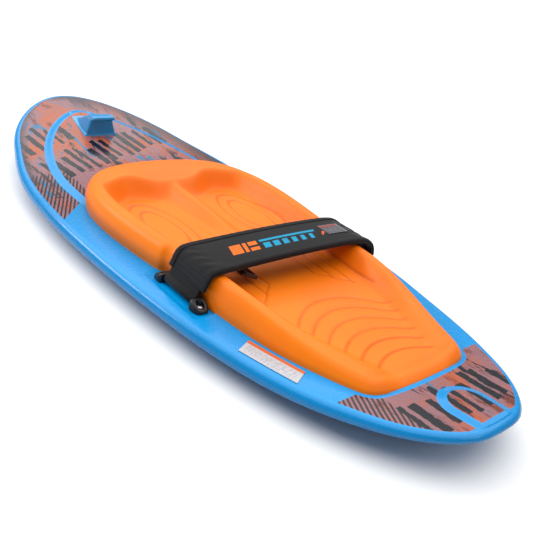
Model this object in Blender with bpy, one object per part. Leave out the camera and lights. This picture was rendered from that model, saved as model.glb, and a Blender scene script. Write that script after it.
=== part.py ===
"""Kneeboard: rotomoulded hull with a foam core, a moulded EVA knee pad and a hinged padded thigh strap.

Frame: +Y points to the nose, +X to starboard, +Z up. z = 0 is the flat of the hull's underside.
Run with: blender --background --python part.py
"""
import math

import bmesh
import bpy
import numpy as np
from mathutils import Matrix, Vector
from mathutils.geometry import delaunay_2d_cdt

# ---------------------------------------------------------------- driving dimensions, metres
LENGTH = 1.270
HALF = LENGTH / 2
STATION_END = 0.6255                      # the width stations are evenly spread from -this to +this
STATION_HALF_WIDTHS = (0.096, 0.178, 0.222, 0.244, 0.255, 0.255, 0.236, 0.187, 0.142)
RAIL_HEIGHT = 0.0255                      # visible edge of the board, amidships
BELLY_DEPTH = 0.022                       # how far the flat of the bottom lies below the rail
DECK = BELLY_DEPTH + RAIL_HEIGHT          # deck level amidships
NOSE_LIFT, NOSE_LIFT_FROM = 0.067, 0.190
TAIL_LIFT, TAIL_LIFT_FROM = 0.029, 0.318
LABEL_LIFT = 0.0007                       # clears the facets of the curved deck
CORE_GAP = 0.0010                         # foam shrinks a little away from the skin
GAP = 0.0003                              # air between touching pieces

WALL = 0.005                              # rotomoulded skin
DECK_WALL = 0.009                         # skin under the deck, counted from deck level
RECESS = 0.003                            # the pad and the brackets sit this deep in the deck
RECESS_SLOPE = 0.0015

NOSE_RIDGE = (0.177, 0.220, 0.335)        # half width, start and length of the raised nose panel
NOSE_RIDGE_BAND, NOSE_RIDGE_RISE = 0.017, 0.004
TAIL_ARCH_APEX, TAIL_ARCH_HALF = -0.543, 0.035
TAIL_ARCH_BAND, TAIL_ARCH_RISE, TAIL_ARCH_FOOT = 0.012, 0.003, 0.019

HOOK_REAR, HOOK_FRONT = 0.436, 0.548      # tow hook, moulded with the hull
HOOK_BASE_HALF, HOOK_TOP_HALF, HOOK_HEIGHT = 0.039, 0.025, 0.050
HOOK_LIP, HOOK_LIP_DEPTH = 0.007, 0.009

PORT_RADIUS, PORT_Z = 0.0030, 0.0565      # foam vent port in the tail, closed by a plug
PORT_FACE_Y, PORT_SINK_RADIUS = -0.6285, 0.0056
PORT_BOSS_RADIUS, PORT_BOSS_END = 0.009, -0.614

STRAP_Y, STRAP_WIDTH = -0.176, 0.090      # thigh strap across the board
BRACKET_X, BRACKET_LENGTH, BRACKET_WIDTH = 0.187, 0.124, 0.027
BAR_RADIUS, SCREW_PITCH = 0.0045, 0.102
BRACKET_BASE = DECK - RECESS + GAP
BAR_Z = BRACKET_BASE + 0.0090
WEB_WIDTH = 0.076
SCREW_RADIUS, SCREW_HEAD_RADIUS = 0.0024, 0.0050
INSERT_RADIUS, INSERT_LENGTH = 0.0037, 0.0125
BOSS_RADIUS, BOSS_DEPTH = 0.009, 0.014

# knee pad outline, starboard half, from the front round to the tail edge
PAD_OUTLINE = (
    (0.0, 0.237), (0.040, 0.235), (0.080, 0.229), (0.118, 0.216), (0.150, 0.194), (0.175, 0.160),
    (0.190, 0.120), (0.1965, 0.075), (0.197, 0.030), (0.194, -0.015), (0.189, -0.060),
    (0.183, -0.100), (0.176, -0.110), (0.1725, -0.124), (0.1722, -0.180), (0.1712, -0.240),
    (0.167, -0.285), (0.159, -0.335), (0.147, -0.385), (0.131, -0.436), (0.117, -0.475),
    (0.105, -0.496), (0.085, -0.505), (0.045, -0.509), (0.0, -0.510),
)
PAD_SPINE_FRONT, PAD_SPINE_REAR = 0.060, -0.380
PAD_CREST, PAD_FLOOR = 0.045, 0.012       # above the deck

for old in list(bpy.data.objects):
    bpy.data.objects.remove(old, do_unlink=True)


# ---------------------------------------------------------------- small helpers
def material(name, colour, roughness, metallic=0.0):
    mat = bpy.data.materials.new(name)
    mat.use_nodes = True
    shader = mat.node_tree.nodes["Principled BSDF"]
    shader.inputs["Base Color"].default_value = (*colour, 1.0)
    shader.inputs["Roughness"].default_value = roughness
    shader.inputs["Metallic"].default_value = metallic
    return mat


def add_mesh(name, verts, faces, mat=None, smooth_angle=35, origin=None):
    """Make an object from vertices and faces; origin moves the object's own origin there."""
    mesh = bpy.data.meshes.new(name)
    mesh.from_pydata([tuple(v) for v in verts], [], faces)
    mesh.validate()
    fix_mesh(mesh)
    if origin is not None:
        mesh.transform(Matrix.Translation(-Vector(origin)))
    obj = bpy.data.objects.new(name, mesh)
    if origin is not None:
        obj.location = origin
    bpy.context.scene.collection.objects.link(obj)
    if mat is not None:
        mesh.materials.append(mat)
    mesh.shade_smooth()
    mesh.set_sharp_from_angle(angle=math.radians(smooth_angle))
    return obj


def fix_mesh(mesh):
    bm = bmesh.new()
    bm.from_mesh(mesh)
    bmesh.ops.remove_doubles(bm, verts=bm.verts, dist=1e-6)
    bmesh.ops.dissolve_degenerate(bm, edges=bm.edges, dist=1e-6)
    bmesh.ops.recalc_face_normals(bm, faces=bm.faces)
    bm.to_mesh(mesh)
    bm.free()


def combine(obj, tool, operation):
    """Apply an exact boolean with another object and remove that object."""
    mod = obj.modifiers.new("cut", 'BOOLEAN')
    mod.operation = operation
    mod.solver = 'EXACT'
    mod.object = tool
    bpy.context.view_layer.update()
    result = bpy.data.meshes.new_from_object(obj.evaluated_get(bpy.context.evaluated_depsgraph_get()))
    obj.modifiers.clear()
    obj.data = result
    bpy.data.objects.remove(tool, do_unlink=True)
    return obj


def rings_to_faces(rings, count, closed=False, caps=True):
    """Faces of a skin over equal rings of points, numbered ring after ring."""
    faces = []
    last = rings if closed else rings - 1
    for r in range(last):
        a, b = r * count, ((r + 1) % rings) * count
        for i in range(count):
            j = (i + 1) % count
            faces.append((a + i, a + j, b + j, b + i))
    if caps and not closed:
        faces.append(tuple(range(count))[::-1])
        faces.append(tuple(range((rings - 1) * count, rings * count)))
    return faces


def turned(name, profile, centre, axis='Z', segments=16, mat=None):
    """A solid of revolution from (radius, height) points that start and end on the axis."""
    verts, faces = [], []
    inner = profile[1:-1]
    for radius, height in inner:
        for i in range(segments):
            a = 2 * math.pi * i / segments
            verts.append(Vector((radius * math.cos(a), radius * math.sin(a), height)))
    faces = rings_to_faces(len(inner), segments, caps=False)
    for end, ring in ((profile[0], 0), (profile[-1], len(inner) - 1)):
        verts.append(Vector((0, 0, end[1])))
        tip, start = len(verts) - 1, ring * segments
        faces += [(start + i, start + (i + 1) % segments, tip) for i in range(segments)]
    if axis == 'Y':
        verts = [Vector((v.x, v.z, -v.y)) for v in verts]
    return add_mesh(name, [v + Vector(centre) for v in verts], faces, mat)


def smoothstep(a, b, x):
    t = min(1.0, max(0.0, (x - a) / (b - a)))
    return t * t * (3 - 2 * t)


def curve_through(points, per_span):
    """Catmull-Rom curve through 2-D or 3-D points, ends included."""
    pts = [Vector(p) for p in points]
    pts = [2 * pts[0] - pts[1], *pts, 2 * pts[-1] - pts[-2]]
    out = []
    for k in range(1, len(pts) - 2):
        p0, p1, p2, p3 = pts[k - 1:k + 3]
        for s in range(per_span):
            t = s / per_span
            out.append(0.5 * (2 * p1 + (p2 - p0) * t + (2 * p0 - 5 * p1 + 4 * p2 - p3) * t * t
                              + (3 * p1 - p0 - 3 * p2 + p3) * t ** 3))
    return out + [pts[-2]]


def mirrored(half):
    """Close an outline given from (0, y) round to (0, y) on the +X side."""
    return list(half) + [(-p[0], p[1]) for p in reversed(half[1:-1])]


def grown(loop, distance):
    """Offset a closed outline outward along its corner normals."""
    pts = [Vector((p[0], p[1])) for p in loop]
    area = sum(pts[i - 1].cross(pts[i]) for i in range(len(pts)))
    side = 1 if area > 0 else -1
    out = []
    for i, p in enumerate(pts):
        e1 = (p - pts[i - 1]).normalized()
        e2 = (pts[(i + 1) % len(pts)] - p).normalized()
        n = Vector((e1.y + e2.y, -e1.x - e2.x)).normalized() * side
        out.append(p + n * distance / max(0.5, abs(n.dot(Vector((e1.y, -e1.x))))))
    return out


# ---------------------------------------------------------------- board shape
def half_width(y):
    step = 2 * STATION_END / (len(STATION_HALF_WIDTHS) - 1)
    w = (2 * STATION_HALF_WIDTHS[0] - STATION_HALF_WIDTHS[1], *STATION_HALF_WIDTHS,
         2 * STATION_HALF_WIDTHS[-1] - STATION_HALF_WIDTHS[-2])
    s = min(max((y + STATION_END) / step, 0.0), len(STATION_HALF_WIDTHS) - 1.0001)
    k, t = int(s) + 1, s - int(s)
    p0, p1, p2, p3 = w[k - 1:k + 3]
    width = 0.5 * (2 * p1 + (p2 - p0) * t + (2 * p0 - 5 * p1 + 4 * p2 - p3) * t * t
                   + (3 * p1 - p0 - 3 * p2 + p3) * t ** 3)
    nose = min(1.0, max(0.0, (y / LENGTH - 0.34) / 0.16))
    tail = min(1.0, max(0.0, (-y / LENGTH - 0.41) / 0.09))
    return width * math.sqrt(max(0.0, 1 - nose ** 2.2)) * max(0.0, 1 - tail ** 3) ** (1 / 3)


def lift(y):
    nose = max(0.0, (y - NOSE_LIFT_FROM) / (HALF - NOSE_LIFT_FROM))
    tail = max(0.0, (-y - TAIL_LIFT_FROM) / (HALF - TAIL_LIFT_FROM))
    return NOSE_LIFT * nose ** 2 + TAIL_LIFT * tail ** 2


def rail_height(y):
    return RAIL_HEIGHT * (1 - 0.35 * min(1.0, abs(y) / HALF) ** 4)


def belly_depth(y):
    return BELLY_DEPTH * (1 - 0.45 * min(1.0, abs(y) / HALF) ** 4)


def deck_level(y):
    return BELLY_DEPTH + lift(y) + rail_height(y)


def distance_to(curve, p):
    """Distance from p to an open curve and the side it is on (+1 on the left)."""
    best, side = 1e9, 1
    for a, b in zip(curve, curve[1:]):
        ab, ap = b - a, p - a
        t = min(1.0, max(0.0, ap.dot(ab) / ab.length_squared))
        d = (ap - ab * t).length
        if d < best:
            best, side = d, (1 if ab.cross(ap) >= 0 else -1)
    return best, side


def nose_ridge_curve(steps=18):
    half, start, length = NOSE_RIDGE
    right = []
    for i in range(steps + 1):
        t = 1 - (1 - i / steps) ** 2 if i else 0.0
        t = min(1.0, t)
        right.append(Vector((half * max(0.0, 1 - t * t) ** 0.7, start + length * t)))
    right = [Vector((half, start - 0.05))] + right
    return right + [Vector((-p.x, p.y)) for p in reversed(right[:-1])]


def tail_arch_curve(steps=10):
    arc = [Vector((TAIL_ARCH_HALF * math.cos(math.pi * i / steps),
                   TAIL_ARCH_APEX - TAIL_ARCH_HALF + TAIL_ARCH_HALF * math.sin(math.pi * i / steps)))
           for i in range(steps + 1)]
    foot = -HALF + TAIL_ARCH_FOOT
    return [Vector((TAIL_ARCH_HALF - 0.003, foot))] + arc + [Vector((0.003 - TAIL_ARCH_HALF, foot))]


NOSE_CURVE, TAIL_CURVE = nose_ridge_curve(), tail_arch_curve()


def raised(x, y):
    """Height of the raised panels inside the nose ridge and the tail arch."""
    p = Vector((x, y))
    if y > 0.1:
        d, side = distance_to(NOSE_CURVE, p)
        s = 0.5 + side * d / NOSE_RIDGE_BAND
        return NOSE_RIDGE_RISE * min(1.0, max(0.0, s))
    if y < TAIL_ARCH_APEX + 0.02:
        d, side = distance_to(TAIL_CURVE, p)
        s = 0.5 + side * d / TAIL_ARCH_BAND
        fade = smoothstep(-HALF + TAIL_ARCH_FOOT, -HALF + TAIL_ARCH_FOOT + 0.012, y)
        return TAIL_ARCH_RISE * min(1.0, max(0.0, s)) * fade
    return 0.0


def board_loop(steps=34):
    """Plan outline: tail tip, starboard side, nose tip, port side."""
    right = []
    for i in range(steps + 1):
        y = -HALF * math.cos(math.pi * i / steps)
        right.append((half_width(y) if 0 < i < steps else 0.0, y))
    return right + [(-x, y) for x, y in reversed(right[1:-1])]


def inset_point(p, inset):
    return Vector((p[0] * (1 - inset / max(STATION_HALF_WIDTHS)), p[1] * (1 - inset / HALF)))


# rail section from the deck edge round to the flat of the belly: inset, share of rail height, share
# of belly depth, then how much of the skin's side, deck and floor thickness the inside moves by there
SECTION = ((0.012, 1.0, 0, 0.6, 1.0, 0), (0.006, 0.93, 0, 0.8, 0.9, 0), (0.0015, 0.72, 0, 1, 0.55, 0),
           (0.0, 0.45, 0, 1, 0.15, 0), (0.005, 0.18, 0, 1, 0, 0.4), (0.018, 0.0, 0.10, 0.6, 0, 0.9),
           (0.048, 0.0, 0.72, 0, 0, 1), (0.078, 0.0, 1.0, 0, 0, 1))


def board_rings(shrink=0.0, top_drop=0.0, floor_rise=0.0):
    """Rings of the rail, optionally shrunk inside the skin."""
    loop = board_loop()
    rings = []
    for inset, rail_share, belly_share, side_part, deck_part, floor_part in SECTION:
        ring = []
        for p in loop:
            q = inset_point(p, inset + shrink * side_part)
            z = BELLY_DEPTH + lift(q.y) + rail_height(q.y) * rail_share - belly_depth(q.y) * belly_share
            ring.append(Vector((q.x, q.y, z - top_drop * deck_part + floor_rise * floor_part)))
        rings.append(ring)
    return rings


def flat_bottom(ring_start, count):
    """Quads straight across the board between mirrored points of the last ring."""
    half = count // 2
    faces = [(ring_start, ring_start + 1, ring_start + count - 1)]
    for i in range(1, half - 1):
        faces.append((ring_start + i, ring_start + i + 1, ring_start + count - i - 1, ring_start + count - i))
    faces.append((ring_start + half - 1, ring_start + half, ring_start + half + 1))
    return faces


def plain_board(name, shrink, top_drop, floor_rise, mat=None):
    """The board's shape without deck features, used for the cavity and the core."""
    rings = board_rings(shrink, top_drop, floor_rise)
    count = len(rings[0])
    verts = [v for ring in rings for v in ring]
    faces = rings_to_faces(len(rings), count, caps=False)
    faces += flat_bottom(0, count) + flat_bottom((len(rings) - 1) * count, count)
    return add_mesh(name, verts, faces, mat)


# ---------------------------------------------------------------- deck recess and hull
def pad_loop(per_span=2):
    return mirrored([tuple(p) for p in curve_through(PAD_OUTLINE, per_span)])


def recess_loop():
    """Floor outline of the recess that the pad and both brackets sit in."""
    clearance = 0.0010
    half = []
    pocket_x = BRACKET_X + BRACKET_WIDTH / 2 + 0.003
    front = STRAP_Y + BRACKET_LENGTH / 2 + 0.003
    rear = STRAP_Y - BRACKET_LENGTH / 2 - 0.003
    for p in curve_through(PAD_OUTLINE, 2):
        if not rear - 0.004 < p.y < front + 0.004:
            half.append((p.x, p.y))
    loop = [(p.x, p.y) for p in grown(mirrored(half), clearance)]
    right = sorted([p for p in loop if p[0] >= -1e-9], key=lambda p: -p[1])
    pocket = [(pocket_x - 0.010, front), (pocket_x - 0.003, front - 0.002), (pocket_x, front - 0.008),
              (pocket_x, rear + 0.008), (pocket_x - 0.003, rear + 0.002), (pocket_x - 0.010, rear)]
    above = [p for p in right if p[1] > front]
    below = [p for p in right if p[1] < rear]
    return mirrored([(0.0, above[0][1])] + above[1:] + pocket + below[:-1] + [(0.0, below[-1][1])])


RECESS_FLOOR = recess_loop()
RECESS_TOP = grown(RECESS_FLOOR, RECESS_SLOPE)


def inside(loop, x, y):
    hit = False
    for (x1, y1), (x2, y2) in zip(loop, loop[1:] + loop[:1]):
        if (y1 > y) != (y2 > y) and x < (x2 - x1) * (y - y1) / (y2 - y1) + x1:
            hit = not hit
    return hit


def near_loop(loop, x, y, tolerance=2e-5):
    pts = [Vector((p[0], p[1])) for p in loop]
    return distance_to(pts + pts[:1], Vector((x, y)))[0] < tolerance


def deck_height(x, y):
    if near_loop(RECESS_FLOOR, x, y) or inside(RECESS_FLOOR, x, y):
        return deck_level(y) - RECESS
    return deck_level(y) + raised(x, y)


def hull_outer():
    rings = board_rings()
    count = len(rings[0])
    points = [Vector((v.x, v.y)) for v in rings[0]]
    edges = [(i, (i + 1) % count) for i in range(count)]

    def add_line(line, closed):
        start = len(points)
        points.extend(Vector((p[0], p[1])) for p in line)
        edges.extend((start + i, start + i + 1) for i in range(len(line) - 1))
        if closed:
            edges.append((start + len(line) - 1, start))

    add_line(RECESS_FLOOR, True)
    add_line([tuple(p) for p in RECESS_TOP], True)
    for curve, band in ((NOSE_CURVE, NOSE_RIDGE_BAND), (TAIL_CURVE, TAIL_ARCH_BAND)):
        for side in (-1, 1):
            line = []
            for i, p in enumerate(curve):
                a, b = curve[max(0, i - 1)], curve[min(len(curve) - 1, i + 1)]
                n = Vector((-(b - a).y, (b - a).x)).normalized() * side * band / 2
                q = p + n
                if q.x * p.x >= 0 or abs(p.x) < 1e-6:
                    line.append(tuple(q))
            add_line(line, False)
    for k in range(1, 9):
        y = -TAIL_LIFT_FROM - 0.005 - k * 0.024
        if y > -0.512:
            reach = min(0.9 * half_width(y) - 0.02, 0.5)
            add_line([(-reach, y), (0, y), (reach, y)], False)
    for y in (0.19, 0.207, 0.222, 0.30, 0.36, 0.42, 0.48, 0.58):
        reach = half_width(y) - 0.035 if y > PAD_OUTLINE[0][1] else pad_half(y) * 0.98
        add_line([(-reach, y), (0, y), (reach, y)], False)
    out_pts, _, out_faces, orig, _, _ = delaunay_2d_cdt(points, edges, [], 1, 1e-6)
    verts, index = [v for ring in rings for v in ring], {}
    for k, p in enumerate(out_pts):
        source = [o for o in orig[k] if o < count]
        if source:
            index[k] = source[0]
        else:
            index[k] = len(verts)
            verts.append(Vector((p.x, p.y, deck_height(p.x, p.y))))
    faces = [tuple(index[k] for k in face) for face in out_faces]
    faces += rings_to_faces(len(rings), count, caps=False)
    faces += flat_bottom((len(rings) - 1) * count, count)
    return add_mesh("hull_shell", verts, faces, HULL_BLUE)


def hook_tool():
    """Wedge that rises towards the tail, with an undercut rear face and a rounded lip."""
    base = deck_level(HOOK_REAR) - 0.006
    top = deck_level(HOOK_REAR) + HOOK_HEIGHT
    nose_top = deck_level(HOOK_FRONT) - 0.001

    def section(y, height, spread):
        """Rounded trapezoid across the board at one station."""
        low, high = HOOK_BASE_HALF * spread, HOOK_TOP_HALF * spread
        r = 0.004 * spread
        return [(-low, y, base), (-high - 0.001, y, height - r), (-high + r, y, height),
                (high - r, y, height), (high + 0.001, y, height - r), (low, y, base)]

    stations = [(HOOK_REAR + 0.004, top - HOOK_LIP_DEPTH, 1.0), (HOOK_REAR + 0.012, top, 0.99),
                (HOOK_REAR + 0.045, top - 0.014, 0.93), (HOOK_REAR + 0.08, top - 0.033, 0.84),
                (HOOK_FRONT, nose_top, 0.72)]
    verts = [p for s in stations for p in section(*s)]
    body = add_mesh("hook", verts, rings_to_faces(len(stations), 6))
    lip = []
    for y, z0, z1 in ((HOOK_REAR - HOOK_LIP, top - 0.0075, top - 0.0035), (HOOK_REAR - 0.003, top - 0.009, top),
                      (HOOK_REAR + 0.016, top - 0.011, top - 0.0005)):
        wide = HOOK_TOP_HALF + 0.0015
        lip += [(-wide, y, z0), (-wide, y, z1 - 0.0015), (-wide + 0.004, y, z1), (wide - 0.004, y, z1),
                (wide, y, z1 - 0.0015), (wide, y, z0)]
    return combine(body, add_mesh("lip", lip, rings_to_faces(3, 6)), 'UNION')


def post_positions():
    return [(sx * BRACKET_X, STRAP_Y + sy * SCREW_PITCH / 2) for sx in (-1, 1) for sy in (1, -1)]


def cylinder(name, radius, low, high, centre, axis='Z', segments=16):
    return turned(name, [(0, low), (radius, low), (radius, high), (0, high)], centre, axis, segments)


def build_hull():
    hull = combine(hull_outer(), hook_tool(), 'UNION')
    cavity = plain_board("cavity", WALL, DECK_WALL, WALL)
    inner_top = DECK - DECK_WALL
    for x, y in post_positions():
        boss = cylinder("boss", BOSS_RADIUS, inner_top - BOSS_DEPTH, inner_top + 0.01, (x, y, 0))
        combine(cavity, boss, 'DIFFERENCE')
    tail_boss = cylinder("boss", PORT_BOSS_RADIUS, -0.02, PORT_BOSS_END - PORT_FACE_Y, (0, PORT_FACE_Y, PORT_Z), 'Y')
    combine(cavity, tail_boss, 'DIFFERENCE')
    combine(hull, cavity, 'DIFFERENCE')
    for x, y in post_positions():
        bore = cylinder("bore", INSERT_RADIUS + GAP, DECK - RECESS - 0.0145, DECK + 0.004, (x, y, 0))
        combine(hull, bore, 'DIFFERENCE')
    port = turned("port", [(0, -0.02), (PORT_SINK_RADIUS, -0.02), (PORT_SINK_RADIUS, 0), (PORT_RADIUS, 0),
                           (PORT_RADIUS, 0.028), (0, 0.028)], (0, PORT_FACE_Y, PORT_Z), 'Y')
    return combine(hull, port, 'DIFFERENCE')


def build_core():
    core = plain_board("foam_core", WALL + CORE_GAP, DECK_WALL + CORE_GAP, WALL + CORE_GAP, CORE_FOAM)
    inner_top = DECK - DECK_WALL
    for x, y in post_positions():
        boss = cylinder("boss", BOSS_RADIUS + GAP, inner_top - BOSS_DEPTH - GAP, inner_top + 0.01, (x, y, 0))
        combine(core, boss, 'DIFFERENCE')
    pocket = cylinder("pocket", PORT_BOSS_RADIUS + GAP, -0.02, PORT_BOSS_END + GAP - PORT_FACE_Y,
                      (0, PORT_FACE_Y, PORT_Z), 'Y')
    return combine(core, pocket, 'DIFFERENCE')


def build_plug():
    stem, head = PORT_RADIUS - 0.0004, PORT_SINK_RADIUS - 0.0006
    turned("tail_plug", [(0, -0.0026), (head * 0.7, -0.0026), (head, -0.0016), (head, 0.0), (stem, 0.0),
                         (stem, 0.010), (stem - 0.0008, 0.0115), (0, 0.0115)],
           (0, PORT_FACE_Y - 0.0016, PORT_Z), 'Y', 16, PLUG_BLACK)
    ring_section = [(0.0041 + 0.0006 * math.cos(a), -0.0008 + 0.0005 * math.sin(a))
                    for a in (2 * math.pi * i / 6 for i in range(6))]
    verts = []
    for i in range(16):
        a = 2 * math.pi * i / 16
        verts += [(r * math.cos(a), PORT_FACE_Y + y, PORT_Z + r * math.sin(a)) for r, y in ring_section]
    add_mesh("plug_seal", verts, rings_to_faces(16, 6, closed=True), SEAL_RUBBER)


# ---------------------------------------------------------------- knee pad
def pad_crest(y):
    """Height of the pad's outer shoulder above the deck."""
    return PAD_CREST + 0.002 * smoothstep(0.12, 0.20, y) - 0.026 * smoothstep(-0.24, -0.49, y)


def pad_half(y):
    half = curve_through(PAD_OUTLINE, 4)
    for a, b in zip(half, half[1:]):
        if b.y <= y <= a.y:
            return a.x + (b.x - a.x) * (a.y - y) / max(1e-9, a.y - b.y)
    return 0.0


def pad_height(x, y):
    """Height of the pad's top above the deck: troughs for the shins, wells for the knees, a spine."""
    u = abs(x)
    crest = pad_crest(y)
    spine = 0.030 * smoothstep(-0.30, 0.10, y) + 0.004
    spine_half = 0.040 * max(0.0, min(1.0, (y + 0.243) / 0.28))
    outer = pad_half(y) - 0.040 - 0.012 * smoothstep(-0.25, -0.45, y)
    floor = PAD_FLOOR - 0.002 * smoothstep(-0.10, 0.05, y)
    front = 0.140 + 0.010 * math.cos(min(1.0, abs(u - 0.095) / 0.06) * math.pi)
    into = min(outer - u, (front - y) * 0.8)
    if spine_half > 0:
        into = min(into, u - spine_half * 0.4)
    trough = smoothstep(-0.016, 0.022, into)
    land = crest + (max(spine, floor) - crest) * (1 - smoothstep(0.02, 0.09, u)) * smoothstep(0.20, 0.12, y)
    if y < -0.243:
        land = crest
    rear = smoothstep(-0.500, -0.470, y)
    return max(0.010, land + (floor - land) * trough) * (0.55 + 0.45 * rear)


def build_pad():
    loop = pad_loop(2)
    count = len(loop)
    bottom_gap = RECESS - 0.0004
    rings, levels = [], ((0.0, None, -1), (0.0, 0.004, 0), (-0.0012, 0.30, 0), (-0.0006, 0.55, 0),
                         (0.004, 0.80, 0), (0.011, 0.95, 0), (0.020, 1.0, 0))
    ring = [Vector((p[0], p[1], deck_level(p[1]) - bottom_gap)) for p in loop]
    rings.append(ring)
    for inset, share, _ in levels[2:]:
        shrunk = grown(loop, -inset)
        ring = []
        for p, q in zip(loop, shrunk):
            deeper = grown(loop, -0.020)[len(ring)]
            ring.append(Vector((q.x, q.y, deck_level(q.y) + share * pad_height(deeper.x, deeper.y))))
        rings.append(ring)
    inner = grown(loop, -0.020)
    for share in (0.12, 0.25, 0.38, 0.52, 0.66, 0.80, 0.92):
        ring = []
        for q in inner:
            centre = Vector((0, min(max(q.y, PAD_SPINE_REAR), PAD_SPINE_FRONT)))
            p = q.lerp(centre, share)
            ring.append(Vector((p.x, p.y, deck_level(p.y) + pad_height(p.x, p.y))))
        rings.append(ring)
    verts = [v for ring in rings for v in ring]
    faces = rings_to_faces(len(rings), count, caps=False)
    faces += flat_bottom(0, count) + flat_bottom((len(rings) - 1) * count, count)
    return add_mesh("knee_pad", verts, faces, PAD_ORANGE, 50)


# ---------------------------------------------------------------- brackets, screws, inserts
def build_bracket(name, side):
    """Footman loop: two ramped lugs joined by a round bar that the webbing goes round."""
    parts = []
    for end in (-1, 1):
        verts = []
        for along, height, wide in ((0.039, 0.0145, 0.0125), (0.043, 0.0145, 0.0135), (0.052, 0.0105, 0.0130),
                                    (0.059, 0.0065, 0.0105), (0.062, 0.0040, 0.0070)):
            y = STRAP_Y + end * along
            x = side * BRACKET_X
            low, high = BRACKET_BASE, BRACKET_BASE + height
            verts += [(x - wide, y, low), (x + wide, y, low), (x + wide, y, high - 0.002),
                      (x + wide - 0.002, y, high), (x - wide + 0.002, y, high), (x - wide, y, high - 0.002)]
        lug = add_mesh(name, verts, rings_to_faces(5, 6), NYLON_BLACK)
        pocket = cylinder("pocket", 0.0062, 0.0045, 0.03, (0, 0, 0))
        pocket.data.transform(Matrix.Diagonal((1.0, 1.18, 1.0, 1.0)))
        pocket.data.transform(Matrix.Translation((side * BRACKET_X, STRAP_Y + end * SCREW_PITCH / 2,
                                                  BRACKET_BASE)))
        combine(lug, pocket, 'DIFFERENCE')
        hole = cylinder("hole", SCREW_RADIUS + 0.0005, -0.01, 0.02,
                        (side * BRACKET_X, STRAP_Y + end * SCREW_PITCH / 2, BRACKET_BASE), segments=14)
        parts.append(combine(lug, hole, 'DIFFERENCE'))
    bar = cylinder("bar", BAR_RADIUS, -0.0405, 0.0405, (side * BRACKET_X, STRAP_Y, BAR_Z), 'Y', 14)
    bracket = combine(parts[0], bar, 'UNION')
    other = parts[1]
    bracket = combine(bracket, other, 'UNION')
    bracket.name = name
    return bracket


def build_screw(name, x, y):
    seat = BRACKET_BASE + 0.0045 + GAP
    r, head = SCREW_RADIUS, SCREW_HEAD_RADIUS
    screw = turned(name, [(0, -0.0158), (r * 0.6, -0.0158), (r, -0.0145), (r, 0.0), (head, 0.0), (head, 0.0012),
                          (head * 0.85, 0.0024), (head * 0.5, 0.0031), (0, 0.0033)], (x, y, seat), 'Z', 14, STEEL)
    for turn in (0, 90):
        size = (0.0052, 0.0011, 0.0024)
        bm = bmesh.new()
        bmesh.ops.create_cube(bm, size=1.0)
        bmesh.ops.scale(bm, vec=size, verts=bm.verts)
        bmesh.ops.rotate(bm, cent=(0, 0, 0), matrix=Matrix.Rotation(math.radians(turn + 20), 3, 'Z'), verts=bm.verts)
        bmesh.ops.translate(bm, vec=(x, y, seat + 0.0031), verts=bm.verts)
        mesh = bpy.data.meshes.new("slot")
        bm.to_mesh(mesh)
        bm.free()
        slot = bpy.data.objects.new("slot", mesh)
        bpy.context.scene.collection.objects.link(slot)
        combine(screw, slot, 'DIFFERENCE')
    return screw


def build_insert(name, x, y):
    top = DECK - RECESS - 0.0006
    outer, inner, low = INSERT_RADIUS, SCREW_RADIUS + GAP, -INSERT_LENGTH
    section = [(inner, 0.0), (outer, 0.0), (outer, low * 0.45), (outer - 0.0006, low * 0.5), (outer, low * 0.55),
               (outer, low), (inner, low)]
    segments = 14
    verts = []
    for i in range(segments):
        a = 2 * math.pi * i / segments
        verts += [(x + r * math.cos(a), y + r * math.sin(a), top + z) for r, z in section]
    return add_mesh(name, verts, rings_to_faces(segments, len(section), closed=True), BRASS)


# ---------------------------------------------------------------- thigh strap
# centre line of the padded cover in the XZ plane (x, height above deck, half thickness), port to starboard
COVER_LINE = (
    (-0.1800, 0.0235, 0.0025), (-0.1762, 0.0330, 0.0025), (-0.1722, 0.0430, 0.0028), (-0.1650, 0.0505, 0.0036),
    (-0.1500, 0.0525, 0.0048), (-0.1200, 0.0538, 0.0050), (-0.0800, 0.0553, 0.0050), (-0.0400, 0.0566, 0.0050),
    (0.0000, 0.0575, 0.0050), (0.0400, 0.0579, 0.0050), (0.0800, 0.0578, 0.0050), (0.1200, 0.0572, 0.0050),
    (0.1480, 0.0560, 0.0048), (0.1700, 0.0520, 0.0046), (0.1860, 0.0430, 0.0044), (0.1950, 0.0310, 0.0042),
    (0.1985, 0.0190, 0.0040),
)
COVER_SKIN = 0.0013


def strap_path(first=0, last=None):
    """Points (centre, normal, half thickness) along the cover's centre line."""
    line = [Vector(p) for p in COVER_LINE[first:last]]
    dense = curve_through(line, 2)
    out = []
    for i, p in enumerate(dense):
        a, b = dense[max(0, i - 1)], dense[min(len(dense) - 1, i + 1)]
        t = Vector((b.x - a.x, b.y - a.y)).normalized()
        out.append((Vector((p.x, DECK + p.y)), Vector((-t.y, t.x)), p.z))
    return out


def strap_ring(centre, normal, offset, half_thick, half_wide, corner):
    """Rounded-rectangle ring across the strap, offset along the centre line's normal."""
    c = min(corner, half_thick * 0.95)
    pts = []
    for sy, sn in ((1, 1), (-1, 1), (-1, -1), (1, -1)):
        near = [(half_wide, half_thick - c), (half_wide - c * 0.3, half_thick - c * 0.3), (half_wide - c, half_thick)]
        if sy * sn < 0:
            near.reverse()
        pts += [(sy * a, sn * b) for a, b in near]
    return [Vector((centre.x + normal.x * (offset + n), STRAP_Y + y, centre.y + normal.y * (offset + n)))
            for y, n in pts]


def strip(name, path, offset, half_thick, half_wide, mat, corner=0.001, origin=None):
    """A flat strip that follows the strap at an offset above or below its centre line."""
    verts = []
    for centre, normal, _ in path:
        verts += strap_ring(centre, normal, offset, half_thick, half_wide, corner)
    return add_mesh(name, verts, rings_to_faces(len(path), 12), mat, 40, origin)


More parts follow.
